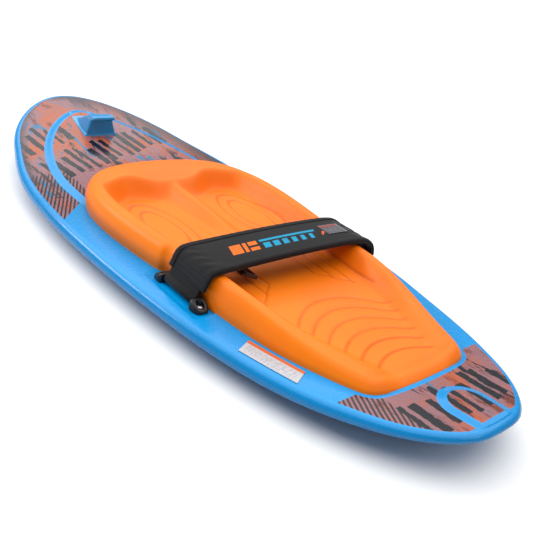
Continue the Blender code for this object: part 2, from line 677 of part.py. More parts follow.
def build_cover():
    path = strap_path()
    wide = STRAP_WIDTH / 2
    outer = [strap_ring(c, n, 0, t, wide, 0.003) for c, n, t in path]
    inner = [strap_ring(c, n, 0, t - COVER_SKIN, wide - COVER_SKIN, 0.002) for c, n, t in path[8:]]
    rings = outer + inner[::-1]
    verts = [v for ring in rings for v in ring]
    add_mesh("strap_cover", verts, rings_to_faces(len(rings), 12), STRAP_BLACK, 40, PORT_BAR)
    verts = []
    for c, n, t in path[8:]:
        verts += strap_ring(c, n, 0, t - COVER_SKIN - GAP, wide - COVER_SKIN - GAP, 0.002)
    foam = verts[12:]
    add_mesh("strap_foam", foam, rings_to_faces(len(foam) // 12, 12), STRAP_FOAM, 40, PORT_BAR)


def web_loop(name, bar, bar_radius, tail_end, tail_half, ply, wide, mat, origin=None):
    """Webbing sewn round a bar: a sleeve with a flat tail that ends at tail_end (x, z)."""
    inner, outer = bar_radius + 0.0005, bar_radius + 0.0005 + ply
    along = Vector(tail_end) - Vector(bar)
    reach, heading = along.length, math.atan2(along.y, along.x)
    root = math.asin(min(0.95, tail_half / outer))
    angles = [0.0, root * 0.6, root]
    steps = 7
    angles += [root + (math.pi - root) * i / steps for i in range(1, steps)]
    angles = angles + [math.pi] + [-a for a in reversed(angles[1:])]
    inner_ring, outer_ring = [], []
    for a in angles:
        spread = math.copysign(1, a)
        if abs(a) < root * 0.5:
            out = Vector((reach, 0.0))
        elif abs(a) < root * 0.9:
            out = Vector((reach, spread * tail_half))
        else:
            out = Vector((outer * math.cos(a), outer * math.sin(a)))
        inner_ring.append(Vector((inner * math.cos(a), inner * math.sin(a))))
        outer_ring.append(out)
    turn = Matrix.Rotation(heading, 2)
    count = len(angles)
    verts = []
    for y in (STRAP_Y - wide, STRAP_Y + wide):
        for ring in (inner_ring, outer_ring):
            for p in ring:
                q = turn @ p
                verts.append((bar[0] + q.x, y, bar[1] + q.y))
    faces = []
    for i in range(count):
        j = (i + 1) % count
        a, b, c, d = 0, count, 2 * count, 3 * count
        faces += [(a + i, a + j, b + j, b + i), (c + i, d + i, d + j, c + j),
                  (a + i, c + i, c + j, a + j), (b + i, b + j, d + j, d + i)]
    return add_mesh(name, verts, faces, mat, 30, origin)


PORT_BAR = (-BRACKET_X, STRAP_Y, BAR_Z)
RING_BAR = (-0.0975, STRAP_Y, DECK + 0.0345)
RING_DROOP = math.radians(24)
RING_SPAN, RING_HALF_LENGTH, RING_BAR_RADIUS = 0.0290, 0.0385, 0.0034


def build_port_webbing():
    start = strap_path()[0]
    back = Vector((start[1].y, -start[1].x))
    end = start[0] - back * (GAP + 0.0001)
    web_loop("webbing_port", (PORT_BAR[0], PORT_BAR[2]), BAR_RADIUS, tuple(end), 0.0024, 0.0024,
             WEB_WIDTH / 2, WEBBING_BLACK, PORT_BAR)


def build_ring():
    """Rectangular ring: rounded bars along Y, hung in a sewn tab under the strap."""
    corner, section_steps = 0.006, 8
    half_x, half_y = RING_SPAN / 2, RING_HALF_LENGTH
    plan = []
    for sx, sy, start in ((1, 1, 0), (-1, 1, 90), (-1, -1, 180), (1, -1, 270)):
        for k in range(4):
            a = math.radians(start + 30 * k)
            plan.append(Vector((sx * (half_x - corner) + corner * math.cos(a),
                                sy * (half_y - corner) + corner * math.sin(a))))
    verts = []
    droop = Matrix.Rotation(RING_DROOP, 3, 'Y')
    for i, p in enumerate(plan):
        a, b = plan[i - 1], plan[(i + 1) % len(plan)]
        n = Vector(((b - a).y, -(b - a).x)).normalized()
        for k in range(section_steps):
            t = 2 * math.pi * k / section_steps
            q = Vector((p.x + half_x + n.x * RING_BAR_RADIUS * math.cos(t), p.y + n.y * RING_BAR_RADIUS * math.cos(t),
                        RING_BAR_RADIUS * math.sin(t)))
            verts.append(droop @ q + Vector(RING_BAR))
    add_mesh("strap_ring", verts, rings_to_faces(len(plan), section_steps, closed=True), NYLON_BLACK, 50, RING_BAR)
    under = [p for p in strap_path() if p[0].x > -0.132][0]
    end = under[0] - under[1] * (under[2] + GAP + 0.0014)
    web_loop("ring_tab", (RING_BAR[0], RING_BAR[2]), RING_BAR_RADIUS + 0.0002, tuple(end), 0.0012, 0.0012,
             0.031, WEBBING_BLACK, PORT_BAR)


def build_starboard_tether():
    """Tether from the starboard bar up over the pad's shoulder, lying under the padded cover."""
    below = [0.0050 + GAP + 0.0006]                            # loop tape, from the cover's centre line
    below.append(below[0] + 0.0012 + GAP)                      # hook tape
    below.append(below[1] + 0.0006 + GAP + 0.0010)             # webbing
    path = [p for p in strap_path() if 0.035 < p[0].x < 0.150]
    strip("loop_tape", path, -below[0], 0.0006, 0.030, TAPE_LOOP, 0.0003, PORT_BAR)
    strip("hook_tape", path, -below[1], 0.0006, 0.030, TAPE_HOOK, 0.0003)
    bar = Vector((BRACKET_X, BAR_Z))
    line = [c - n * below[2] for c, n, _ in path]
    wall = [Vector((0.1640, DECK + 0.0455)), Vector((0.1745, DECK + 0.0375)), Vector((0.1795, DECK + 0.0270)),
            Vector((0.1815, DECK + 0.0190))]
    centre = curve_through([tuple(p) for p in line[-1:]] + [tuple(p) for p in wall], 3)
    centre = [Vector((p.x, p.y)) for p in line[:-1]] + [Vector((p[0], p[1])) for p in centre]
    stations = []
    for i, p in enumerate(centre):
        a, b = centre[max(0, i - 1)], centre[min(len(centre) - 1, i + 1)]
        t = (b - a).normalized()
        stations.append((p, Vector((-t.y, t.x)), 0.0))
    strip("webbing_starboard", stations, 0.0, 0.0010, WEB_WIDTH / 2, WEBBING_BLACK, 0.0006)
    last, normal, _ = stations[-1]
    end = last + Vector((normal.y, -normal.x)) * (GAP + 0.0002)
    web_loop("webbing_anchor", tuple(bar), BAR_RADIUS, tuple(end), 0.0022, 0.0022, WEB_WIDTH / 2,
             WEBBING_BLACK)


def build_bindings():
    """Half-round binding along both long edges of the cover and across its starboard end."""
    path = strap_path()
    for name, side in (("binding_front", 1), ("binding_rear", -1)):
        verts = []
        for c, n, t in path:
            thick = t + 0.0006
            for a, b in ((GAP, -0.75), (GAP + 0.0008, -1.0), (0.0022, -0.6), (0.0028, 0.0), (0.0022, 0.6),
                         (GAP + 0.0008, 1.0), (GAP, 0.75)):
                y = STRAP_Y + side * (STRAP_WIDTH / 2 + a)
                verts.append(Vector((c.x + n.x * thick * b, y, c.y + n.y * thick * b)))
        add_mesh(name, verts, rings_to_faces(len(path), 7), BINDING_BLACK, 60, PORT_BAR)
    c, n, t = path[-1]
    along = Vector((n.y, -n.x))
    verts = []
    for reach, shrink in ((GAP, 0.0), (0.0015, 0.0002), (0.0028, 0.0016)):
        ring = strap_ring(c + along * reach, n, 0, t + 0.0003 - shrink, STRAP_WIDTH / 2 - shrink, 0.002)
        verts += ring
    add_mesh("binding_end", verts, rings_to_faces(3, 12), BINDING_BLACK, 60, PORT_BAR)


def build_patch():
    path = [p for p in strap_path() if 0.095 < p[0].x < 0.150]
    top = path[0][2] + GAP + 0.0003
    strip("strap_patch", path, top, 0.0003, 0.016, PATCH_GREY, 0.0002, PORT_BAR)


def build_label():
    """Thin vinyl label on the port side deck, following the tail's lift."""
    corners = ((-0.1980, -0.3360), (-0.1690, -0.3230), (-0.1460, -0.4170), (-0.1740, -0.4310))
    a, b, c, d = (Vector(p) for p in corners)
    steps = 6
    outline = []
    for i in range(steps + 1):
        outline += [b.lerp(c, i / steps), a.lerp(d, i / steps)]
    verts = [(p.x, p.y, deck_level(p.y) + rise) for rise in (LABEL_LIFT, LABEL_LIFT + 0.0004) for p in outline]
    n = len(outline)
    faces = []
    for i in range(steps):
        k = 2 * i
        faces += [(k, k + 1, k + 3, k + 2), (n + k, n + k + 2, n + k + 3, n + k + 1),
                  (k, k + 2, n + k + 2, n + k), (k + 1, n + k + 1, n + k + 3, k + 3)]
    faces += [(0, n, n + 1, 1), (n - 2, n - 1, 2 * n - 1, 2 * n - 2)]
    return add_mesh("deck_label", verts, faces, LABEL_GREY)


# ---------------------------------------------------------------- materials
HULL_BLUE = material("hull_blue", (0.0, 0.30, 0.69), 0.25)
CORE_FOAM = material("core_foam", (0.78, 0.70, 0.45), 0.95)
PLUG_BLACK = material("plug_black", (0.02, 0.02, 0.02), 0.45)
SEAL_RUBBER = material("seal_rubber", (0.03, 0.03, 0.03), 0.8)
PAD_ORANGE = material("pad_orange", (1.0, 0.22, 0.01), 0.6)
NYLON_BLACK = material("nylon_black", (0.015, 0.015, 0.016), 0.35)
STEEL = material("steel", (0.65, 0.65, 0.66), 0.25, 1.0)
BRASS = material("brass", (0.75, 0.55, 0.25), 0.35, 1.0)
STRAP_BLACK = material("strap_black", (0.018, 0.018, 0.019), 0.9)
STRAP_FOAM = material("strap_foam_grey", (0.12, 0.12, 0.12), 0.95)
WEBBING_BLACK = material("webbing_black", (0.014, 0.014, 0.015), 0.85)
BINDING_BLACK = material("binding_black", (0.02, 0.02, 0.02), 0.8)
TAPE_HOOK = material("tape_hook", (0.02, 0.02, 0.02), 0.7)
TAPE_LOOP = material("tape_loop", (0.03, 0.03, 0.03), 0.98)
PATCH_GREY = material("patch_grey", (0.10, 0.10, 0.11), 0.7)
LABEL_GREY = material("label_grey", (0.60, 0.60, 0.62), 0.5)

build_hull()
build_core()
build_plug()
build_pad()
for side, word in ((-1, "port"), (1, "starboard")):
    build_bracket("bracket_" + word, side)
for k, (x, y) in enumerate(post_positions(), 1):
    build_screw("screw_%d" % k, x, y)
    build_insert("insert_%d" % k, x, y)
build_cover()
build_port_webbing()
build_ring()
build_starboard_tether()
build_bindings()
build_patch()
build_label()
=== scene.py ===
"""Kneeboard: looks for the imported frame. +Y nose, +X starboard, +Z up, metres."""
import math

import bmesh
import bpy
import numpy as np
from mathutils import Matrix, Vector


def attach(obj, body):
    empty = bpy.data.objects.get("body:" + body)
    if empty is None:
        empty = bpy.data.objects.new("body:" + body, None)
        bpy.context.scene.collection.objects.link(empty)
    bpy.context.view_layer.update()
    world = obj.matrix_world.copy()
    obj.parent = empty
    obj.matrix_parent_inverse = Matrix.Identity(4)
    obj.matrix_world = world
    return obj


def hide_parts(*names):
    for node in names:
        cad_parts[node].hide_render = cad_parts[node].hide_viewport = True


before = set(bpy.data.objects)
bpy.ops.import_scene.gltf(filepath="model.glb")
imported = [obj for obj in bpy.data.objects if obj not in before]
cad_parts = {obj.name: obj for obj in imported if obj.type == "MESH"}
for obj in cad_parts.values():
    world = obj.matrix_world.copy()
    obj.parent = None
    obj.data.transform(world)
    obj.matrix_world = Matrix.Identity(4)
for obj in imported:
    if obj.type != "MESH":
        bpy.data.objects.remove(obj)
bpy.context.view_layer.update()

# ---------------------------------------------------------------- sizes that the CAD model was driven by
LENGTH, HALF = 1.270, 0.635
STATION_END = 0.6255
STATION_HALF_WIDTHS = np.array((0.096, 0.178, 0.222, 0.244, 0.255, 0.255, 0.236, 0.187, 0.142))
RAIL_HEIGHT, BELLY_DEPTH = 0.0255, 0.022
DECK = RAIL_HEIGHT + BELLY_DEPTH
NOSE_LIFT, NOSE_LIFT_FROM, TAIL_LIFT, TAIL_LIFT_FROM = 0.067, 0.190, 0.029, 0.318
STRAP_Y, STRAP_WIDTH = -0.176, 0.090
BRACKET_X, BAR_Z, BAR_RADIUS = 0.187, 0.0538, 0.0045
RING_BAR = (-0.0975, DECK + 0.0345)
WEB_HALF = 0.038
PAD_OUTLINE = (
    (0.0, 0.237), (0.040, 0.235), (0.080, 0.229), (0.118, 0.216), (0.150, 0.194), (0.175, 0.160),
    (0.190, 0.120), (0.1965, 0.075), (0.197, 0.030), (0.194, -0.015), (0.189, -0.060),
    (0.183, -0.100), (0.176, -0.110), (0.1725, -0.124), (0.1722, -0.180), (0.1712, -0.240),
    (0.167, -0.285), (0.159, -0.335), (0.147, -0.385), (0.131, -0.436), (0.117, -0.475),
    (0.105, -0.496), (0.085, -0.505), (0.045, -0.509), (0.0, -0.510),
)
COVER_LINE = (
    (-0.1800, 0.0235, 0.0025), (-0.1762, 0.0330, 0.0025), (-0.1722, 0.0430, 0.0028),
    (-0.1650, 0.0505, 0.0036),
    (-0.1500, 0.0525, 0.0048), (-0.1200, 0.0538, 0.0050), (-0.0800, 0.0553, 0.0050),
    (-0.0400, 0.0566, 0.0050),
    (0.0000, 0.0575, 0.0050), (0.0400, 0.0579, 0.0050), (0.0800, 0.0578, 0.0050), (0.1200, 0.0572, 0.0050),
    (0.1480, 0.0560, 0.0048), (0.1700, 0.0520, 0.0046), (0.1860, 0.0430, 0.0044), (0.1950, 0.0310, 0.0042),
    (0.1985, 0.0190, 0.0040),
)


# ---------------------------------------------------------------- curves and heights, on numpy arrays
def smoothstep(a, b, x):
    t = np.clip((np.asarray(x, float) - a) / (b - a), 0, 1)
    return t * t * (3 - 2 * t)


def spline(points, per_span):
    """Catmull-Rom curve through rows of points, ends included."""
    p = np.asarray(points, float)
    p = np.vstack([2 * p[0] - p[1], p, 2 * p[-1] - p[-2]])
    out = []
    for k in range(1, len(p) - 2):
        for s in range(per_span):
            t = s / per_span
            out.append(0.5 * (2 * p[k] + (p[k + 1] - p[k - 1]) * t
                              + (2 * p[k - 1] - 5 * p[k] + 4 * p[k + 1] - p[k + 2]) * t * t
                              + (3 * p[k] - p[k - 1] - 3 * p[k + 1] + p[k + 2]) * t ** 3))
    out.append(p[-2])
    return np.array(out)


WIDTHS = spline(np.column_stack([np.linspace(-STATION_END, STATION_END, 9), STATION_HALF_WIDTHS]), 24)
PAD_HALF = spline(PAD_OUTLINE, 12)


def half_width(y):
    y = np.asarray(y, float)
    width = np.interp(y, WIDTHS[:, 0], WIDTHS[:, 1])
    nose = np.clip((y / LENGTH - 0.34) / 0.16, 0, 1)
    tail = np.clip((-y / LENGTH - 0.41) / 0.09, 0, 1)
    return width * np.sqrt(np.clip(1 - nose ** 2.2, 0, 1)) * np.clip(1 - tail ** 3, 0, 1) ** (1 / 3)


def lift(y):
    nose = np.clip((y - NOSE_LIFT_FROM) / (HALF - NOSE_LIFT_FROM), 0, None)
    tail = np.clip((-y - TAIL_LIFT_FROM) / (HALF - TAIL_LIFT_FROM), 0, None)
    return NOSE_LIFT * nose ** 2 + TAIL_LIFT * tail ** 2


def rail_height(y):
    return RAIL_HEIGHT * (1 - 0.35 * np.clip(np.abs(y) / HALF, 0, 1) ** 4)


def belly_depth(y):
    return BELLY_DEPTH * (1 - 0.45 * np.clip(np.abs(y) / HALF, 0, 1) ** 4)


def deck_level(y):
    return BELLY_DEPTH + lift(y) + rail_height(y)


def pad_half(y):
    return np.interp(-np.asarray(y, float), -PAD_HALF[:, 1], PAD_HALF[:, 0], left=0, right=0)


def signed_distance(curve, x, y, closed=False):
    """Distance to a polyline, positive on its left side (inside, for a closed counter-clockwise one)."""
    pts = np.asarray(curve, float)
    if closed:
        pts = np.vstack([pts, pts[:1]])
    px, py = np.ravel(x), np.ravel(y)
    best = np.full(px.shape, 1e9)
    side = np.ones(px.shape)
    for (ax, ay), (bx, by) in zip(pts[:-1], pts[1:]):
        ex, ey = bx - ax, by - ay
        size = ex * ex + ey * ey
        if size < 1e-14:
            continue
        t = np.clip(((px - ax) * ex + (py - ay) * ey) / size, 0, 1)
        d = np.hypot(px - ax - t * ex, py - ay - t * ey)
        s = np.where(ex * (py - ay) - ey * (px - ax) >= 0, 1.0, -1.0)
        near = d < best
        best[near], side[near] = d[near], s[near]
    if closed:
        inside = np.zeros(px.shape, bool)
        for (ax, ay), (bx, by) in zip(pts[:-1], pts[1:]):
            if ay == by:
                continue
            cross = ((ay > py) != (by > py)) & (px < (bx - ax) * (py - ay) / (by - ay) + ax)
            inside ^= cross
        side = np.where(inside, 1.0, -1.0)
    return (best * side).reshape(np.shape(x))


def nose_ridge():
    t = 1 - (1 - np.linspace(0, 1, 40)) ** 2
    right = np.column_stack([0.177 * np.clip(1 - t * t, 0, 1) ** 0.7, 0.220 + 0.335 * t])
    right = np.vstack([[0.177, 0.17], right])
    return np.vstack([right, (right * (-1, 1))[::-1][1:]])


def tail_arch():
    a = np.linspace(0, math.pi, 28)
    arc = np.column_stack([0.035 * np.cos(a), -0.578 + 0.035 * np.sin(a)])
    return np.vstack([[0.033, -0.640], arc, [-0.033, -0.640]])


NOSE_RIDGE, TAIL_ARCH = nose_ridge(), tail_arch()
NOSE_BAND, TAIL_BAND = 0.0085, 0.0065          # half widths of the coloured steps


def deck_height(x, y):
    """Deck with the raised nose panel, the tail arch, the bracket pockets and the seat of the pad."""
    nose = smoothstep(-NOSE_BAND, NOSE_BAND, signed_distance(NOSE_RIDGE, x, y))
    nose = nose * smoothstep(0.12, 0.17, y) * 0.0042
    tail = smoothstep(-TAIL_BAND, TAIL_BAND, signed_distance(TAIL_ARCH, x, y)) * (np.asarray(y) < -0.50)
    tail = tail * 0.0032 * smoothstep(-HALF + 0.002, -HALF + 0.022, y)
    u = np.abs(x)
    rect = np.maximum(np.abs(u - BRACKET_X) - 0.017, np.abs(np.asarray(y) - STRAP_Y) - 0.0655)
    pocket = 0.0031 * smoothstep(0.006, -0.0005, rect)
    inside = np.minimum(pad_half(y) - u, np.minimum(0.237 - np.asarray(y), np.asarray(y) + 0.510))
    seat = 0.0034 * smoothstep(0.003, 0.009, inside)
    top = deck_level(y) + nose + tail
    return np.minimum(top - pocket, top - seat - nose * smoothstep(0.003, 0.009, inside))


# ---------------------------------------------------------------- mesh helpers
def make(name, verts, faces, mat=None, body="board", replaces=(), sharp=40):
    mesh = bpy.data.meshes.new(name)
    mesh.from_pydata([tuple(v) for v in verts], [], faces)
    bm = bmesh.new()
    bm.from_mesh(mesh)
    bmesh.ops.recalc_face_normals(bm, faces=bm.faces)
    bm.to_mesh(mesh)
    bm.free()
    obj = bpy.data.objects.new(name, mesh)
    bpy.context.scene.collection.objects.link(obj)
    mesh.shade_smooth()
    mesh.set_sharp_from_angle(angle=math.radians(sharp))
    if mat is not None:
        mesh.materials.append(mat)
    if body:
        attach(obj, body)
    if replaces:
        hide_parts(*replaces)
    return obj


def skin(rings, count, closed=False, caps=True):
    faces = []
    for r in range(rings if closed else rings - 1):
        a, b = r * count, ((r + 1) % rings) * count
        faces += [(a + i, a + (i + 1) % count, b + (i + 1) % count, b + i) for i in range(count)]
    if caps and not closed:
        faces += [tuple(range(count))[::-1], tuple(range((rings - 1) * count, rings * count))]
    return faces


def bake_modifiers(obj):
    bpy.context.view_layer.update()
    mesh = bpy.data.meshes.new_from_object(obj.evaluated_get(bpy.context.evaluated_depsgraph_get()))
    obj.modifiers.clear()
    obj.data = mesh
    mesh.shade_smooth()
    return obj


def moulded(obj, voxel, rounds, factor=0.5):
    """Round every edge a little, as a mould does: a fine remesh and a few smoothing passes."""
    mod = obj.modifiers.new("remesh", 'REMESH')
    mod.mode, mod.voxel_size = 'VOXEL', voxel
    mod = obj.modifiers.new("smooth", 'SMOOTH')
    mod.factor, mod.iterations = factor, rounds
    return bake_modifiers(obj)


def attribute(obj, name, values):
    layer = obj.data.attributes.new(name, 'FLOAT', 'POINT')
    layer.data.foreach_set("value", np.asarray(values, dtype=np.float32))


# ---------------------------------------------------------------- shader helper
class Look:
    """A small writer of node materials."""

    def __init__(self, name, roughness=0.5, metallic=0.0, **sockets):
        self.mat = bpy.data.materials.new(name)
        self.mat.use_nodes = True
        self.tree = self.mat.node_tree
        self.shader = self.tree.nodes["Principled BSDF"]
        self.shader.inputs["Roughness"].default_value = roughness
        self.shader.inputs["Metallic"].default_value = metallic
        for key, value in sockets.items():
            self.shader.inputs[key.replace("_", " ")].default_value = value

    def link(self, source, target):
        if isinstance(source, (int, float)):
            target.default_value = source
        elif isinstance(source, tuple):
            alpha = (1.0,) if len(source) == 3 and len(target.default_value) == 4 else ()
            target.default_value = (*source, *alpha)
        else:
            self.tree.links.new(source, target)

    def node(self, kind, output=0, **inputs):
        n = self.tree.nodes.new(kind)
        for key, value in inputs.items():
            self.link(value, n.inputs[key.replace("_", " ")])
        return n.outputs[output]

    def math(self, operation, a, b=0.0, c=0.0):
        n = self.tree.nodes.new("ShaderNodeMath")
        n.operation = operation
        for k, value in enumerate((a, b, c)):
            self.link(value, n.inputs[k])
        return n.outputs[0]

    def add(self, a, b):
        return self.math('ADD', a, b)

    def sub(self, a, b):
        return self.math('SUBTRACT', a, b)

    def mul(self, a, b):
        return self.math('MULTIPLY', a, b)

    def mix(self, factor, a, b, blend='MIX'):
        n = self.tree.nodes.new("ShaderNodeMix")
        n.data_type, n.blend_type = 'RGBA', blend
        self.link(factor, n.inputs[0])
        self.link(a, n.inputs[6])
        self.link(b, n.inputs[7])
        return n.outputs[2]

    def remap(self, value, a, b, low=0.0, high=1.0, kind='SMOOTHSTEP'):
        n = self.tree.nodes.new("ShaderNodeMapRange")
        n.interpolation_type = kind
        for key, v in (("Value", value), ("From Min", a), ("From Max", b), ("To Min", low), ("To Max", high)):
            self.link(v, n.inputs[key])
        return n.outputs[0]

    def coords(self, scale=(1, 1, 1), turn=0.0):
        n = self.tree.nodes.new("ShaderNodeTexCoord")
        m = self.tree.nodes.new("ShaderNodeMapping")
        m.inputs["Scale"].default_value = scale
        m.inputs["Rotation"].default_value = (0, 0, turn)
        self.tree.links.new(n.outputs["Object"], m.inputs["Vector"])
        return m.outputs[0]

    def axes(self):
        n = self.tree.nodes.new("ShaderNodeTexCoord")
        s = self.tree.nodes.new("ShaderNodeSeparateXYZ")
        self.tree.links.new(n.outputs["Object"], s.inputs[0])
        return s.outputs

    def noise(self, scale, detail=3.0, rough=0.5, vector=None, distortion=0.0):
        return self.node("ShaderNodeTexNoise", Vector=vector or self.coords(), Scale=scale, Detail=detail,
                         Roughness=rough, Distortion=distortion)

    def attr(self, name):
        n = self.tree.nodes.new("ShaderNodeAttribute")
        n.attribute_name = name
        return n.outputs["Fac"]

    def bump(self, height, strength=0.3, distance=0.001, normal=None):
        n = self.tree.nodes.new("ShaderNodeBump")
        n.inputs["Strength"].default_value = strength
        n.inputs["Distance"].default_value = distance
        self.link(height, n.inputs["Height"])
        if normal is not None:
            self.tree.links.new(normal, n.inputs["Normal"])
        self.tree.links.new(n.outputs[0], self.shader.inputs["Normal"])
        return n.outputs[0]

    def colour(self, source):
        self.link(source, self.shader.inputs["Base Color"])

    def roughness(self, source):
        self.link(source, self.shader.inputs["Roughness"])


def linear(r, g, b):
    """sRGB 0-255 to linear."""
    return tuple(((c / 255 + 0.055) / 1.055) ** 2.4 if c > 10 else c / 255 / 12.92 for c in (r, g, b))


# ---------------------------------------------------------------- materials
BLUE = linear(0, 148, 220)
# blue of the painted shade on the lower rails
BLUE_PAINTED_SHADE = linear(0, 84, 138)
INK = linear(17, 19, 28)
RUST = linear(176, 84, 44)
RUST_DARK = linear(112, 52, 40)
MAUVE = linear(140, 98, 104)
TEAL = linear(30, 110, 150)


def hull_look():
    s = Look("hull_gloss", 0.24, Coat_Weight=0.12, Coat_Roughness=0.06, Specular_IOR_Level=0.30)
    graphic, bars = s.attr("graphic"), s.attr("bars")
    ragged = s.noise(70, 4, 0.65)
    broad = s.noise(9, 5, 0.6, s.coords((1, 0.6, 1), 0.6), 0.8)
    fine = s.noise(26, 6, 0.7, s.coords((1.6, 0.5, 1), -0.5))
    base = s.mix(s.remap(broad, 0.40, 0.58), RUST, MAUVE)
    base = s.mix(s.remap(fine, 0.54, 0.62), base, RUST_DARK)
    patch = s.noise(11, 6, 0.7, s.coords((2.0, 0.7, 1), 0.75), 0.7)
    base = s.mix(s.remap(patch, 0.585, 0.615), base, TEAL)
    stroke = s.noise(9, 7, 0.75, s.coords((2.6, 0.5, 1), -0.45), 0.5)
    base = s.mix(s.remap(stroke, 0.575, 0.605), base, INK)
    # fine printed lines in the lower part of the nose graphic and at the tail's corners
    line = s.node("ShaderNodeTexWave", Vector=s.coords((1, 1, 1), 0.5), Scale=46.0, Distortion=0.5, Detail=1.0,
                  output=1)
    zone = s.attr("lines")
    base = s.mix(s.mul(s.remap(line, 0.45, 0.6), s.remap(zone, 0.25, 0.6)), base, linear(44, 26, 30))
    ink = s.remap(s.add(bars, s.mul(s.sub(ragged, 0.5), 0.010)), -0.0004, 0.0004)
    base = s.mix(ink, base, INK)
    rim = s.attr("rim")
    base = s.mix(s.remap(rim, 0.045, 0.004, 0.0, 0.85), base, linear(40, 42, 54))
    inside = s.remap(s.add(graphic, s.mul(s.sub(ragged, 0.5), 0.0012)),
                     -0.0005, 0.0005)
    cloudy = s.noise(3.0, 2, 0.5)
    plain = s.mix(s.remap(cloudy, 0.3, 0.7), BLUE, linear(0, 138, 206))
    # painted shade: the plain blue is darkened down the rails towards the bottom, where less light falls
    plain = s.mix(s.mul(s.attr("under"), 0.8), plain, BLUE_PAINTED_SHADE)
    s.colour(s.mix(inside, plain, base))
    s.roughness(s.remap(s.noise(140, 3, 0.6), 0.3, 0.7, 0.20, 0.30))
    peel = s.noise(420, 2, 0.5)
    s.bump(s.add(peel, s.mul(s.noise(38, 2, 0.5), 2.0)), 0.02, 0.0004)
    return s.mat


def pad_look():
    s = Look("eva_foam", 0.42, Specular_IOR_Level=0.26, Sheen_Weight=0.04, Sheen_Roughness=0.4)
    tone = s.noise(6, 3, 0.5)
    fleck = s.noise(900, 2, 0.6)
    base = s.mix(s.remap(tone, 0.3, 0.7), linear(252, 126, 4), linear(247, 116, 2))
    base = s.mix(s.remap(fleck, 0.35, 0.75, 0.0, 0.08), base, linear(255, 150, 40))
    groove_shade = s.attr("groove_shade")
    # painted shade: the foam is darkened along the moulded grooves
    base = s.mix(s.remap(groove_shade, 0.0, 1.0, 0.0, 0.55), base, linear(190, 66, 0))
    s.colour(base)
    s.roughness(s.remap(s.noise(220, 3, 0.6), 0.3, 0.7, 0.36, 0.48))
    cells = s.node("ShaderNodeTexVoronoi", Vector=s.coords(), Scale=900.0)
    s.bump(s.add(s.mul(cells, 0.6), s.noise(1600, 2, 0.5)), 0.16, 0.0003)
    return s.mat


def cloth_look(name, colour, weave=520.0, prints=False):
    """Knitted strap fabric: fine crossing ribs, fuzz, edge stitching and, on the cover, printed bars."""
    s = Look(name, 0.86, Sheen_Weight=0.10, Sheen_Roughness=0.5, Specular_IOR_Level=0.2)
    x, y, z = s.axes()
    ribs, cross = (s.node("ShaderNodeTexWave", Vector=s.coords((1, 1, 1), turn), Scale=weave / 6.28,
                          Distortion=1.2, Detail=2.0, output=1) for turn in (0.0, math.pi / 2))
    knit = s.mul(ribs, cross)
    fuzz = s.noise(1300, 3, 0.7)
    worn = s.noise(24, 4, 0.6)
    dark, light = colour, tuple(c * 1.7 + 0.004 for c in colour)
    base = s.mix(s.remap(knit, 0.0, 0.9, 0.0, 0.75), dark, light)
    base = s.mix(s.remap(worn, 0.52, 0.75, 0.0, 0.30), base, tuple(c * 2.2 + 0.008 for c in colour))
    height = s.add(knit, s.mul(fuzz, 0.7))
    if prints:
        base, height = strap_prints(s, x, y, z, base, height)
    s.colour(base)
    s.roughness(s.remap(fuzz, 0.3, 0.7, 0.78, 0.95))
    s.bump(height, 0.45, 0.0005)
    return s.mat


def band(s, value, low, high, soft=0.0003):
    return s.mul(s.remap(value, low - soft, low + soft), s.remap(value, high + soft, high - soft))


def strap_prints(s, x, y, z, base, height):
    """Plain slanted bars in orange and blue, a small chevron and rows of edge stitches."""
    v = s.sub(y, STRAP_Y - 0.004)
    slant = s.sub(x, s.mul(v, 0.35))
    top = s.remap(z, DECK + 0.050, DECK + 0.052)
    worn = s.remap(s.noise(480, 3, 0.7), 0.30, 0.42)
    def block(x0, x1, y0, y1):
        return s.mul(band(s, slant, x0, x1), band(s, v, y0, y1))
    orange = block(-0.105, -0.083, -0.013, 0.013)
    for x0, x1, y0, y1 in ((-0.079, -0.072, -0.013, 0.013), (-0.068, -0.050, 0.002, 0.013),
                           (-0.068, -0.050, -0.013, -0.004)):
        orange = s.math('MAXIMUM', orange, block(x0, x1, y0, y1))
    blue = block(-0.044, 0.080, 0.007, 0.013)
    for k in range(6):
        x0 = -0.040 + 0.0205 * k
        blue = s.math('MAXIMUM', blue, block(x0, x0 + 0.0145 - 0.0012 * k, -0.013, 0.002))
    badge = s.mul(band(s, s.math('ABSOLUTE', s.sub(x, 0.098)), -0.009, 0.009),
                   band(s, s.add(v, s.math('ABSOLUTE', s.sub(x, 0.098))), -0.002, 0.004))
    base = s.mix(s.mul(s.mul(orange, top), worn), base, linear(238, 112, 30))
    base = s.mix(s.mul(s.mul(blue, top), worn), base, linear(20, 150, 190))
    base = s.mix(s.mul(s.mul(badge, top), worn), base, linear(214, 96, 60))
    edge = s.math('ABSOLUTE', s.sub(y, STRAP_Y))
    row = band(s, edge, 0.0375, 0.0384, 0.0002)
    dash = s.remap(s.math('SINE', s.mul(x, 2 * math.pi / 0.0038)), -0.35, -0.05)
    stitch = s.mul(row, dash)
    base = s.mix(s.mul(stitch, 0.8), base, linear(78, 78, 80))
    return base, s.add(height, s.mul(stitch, 2.0))


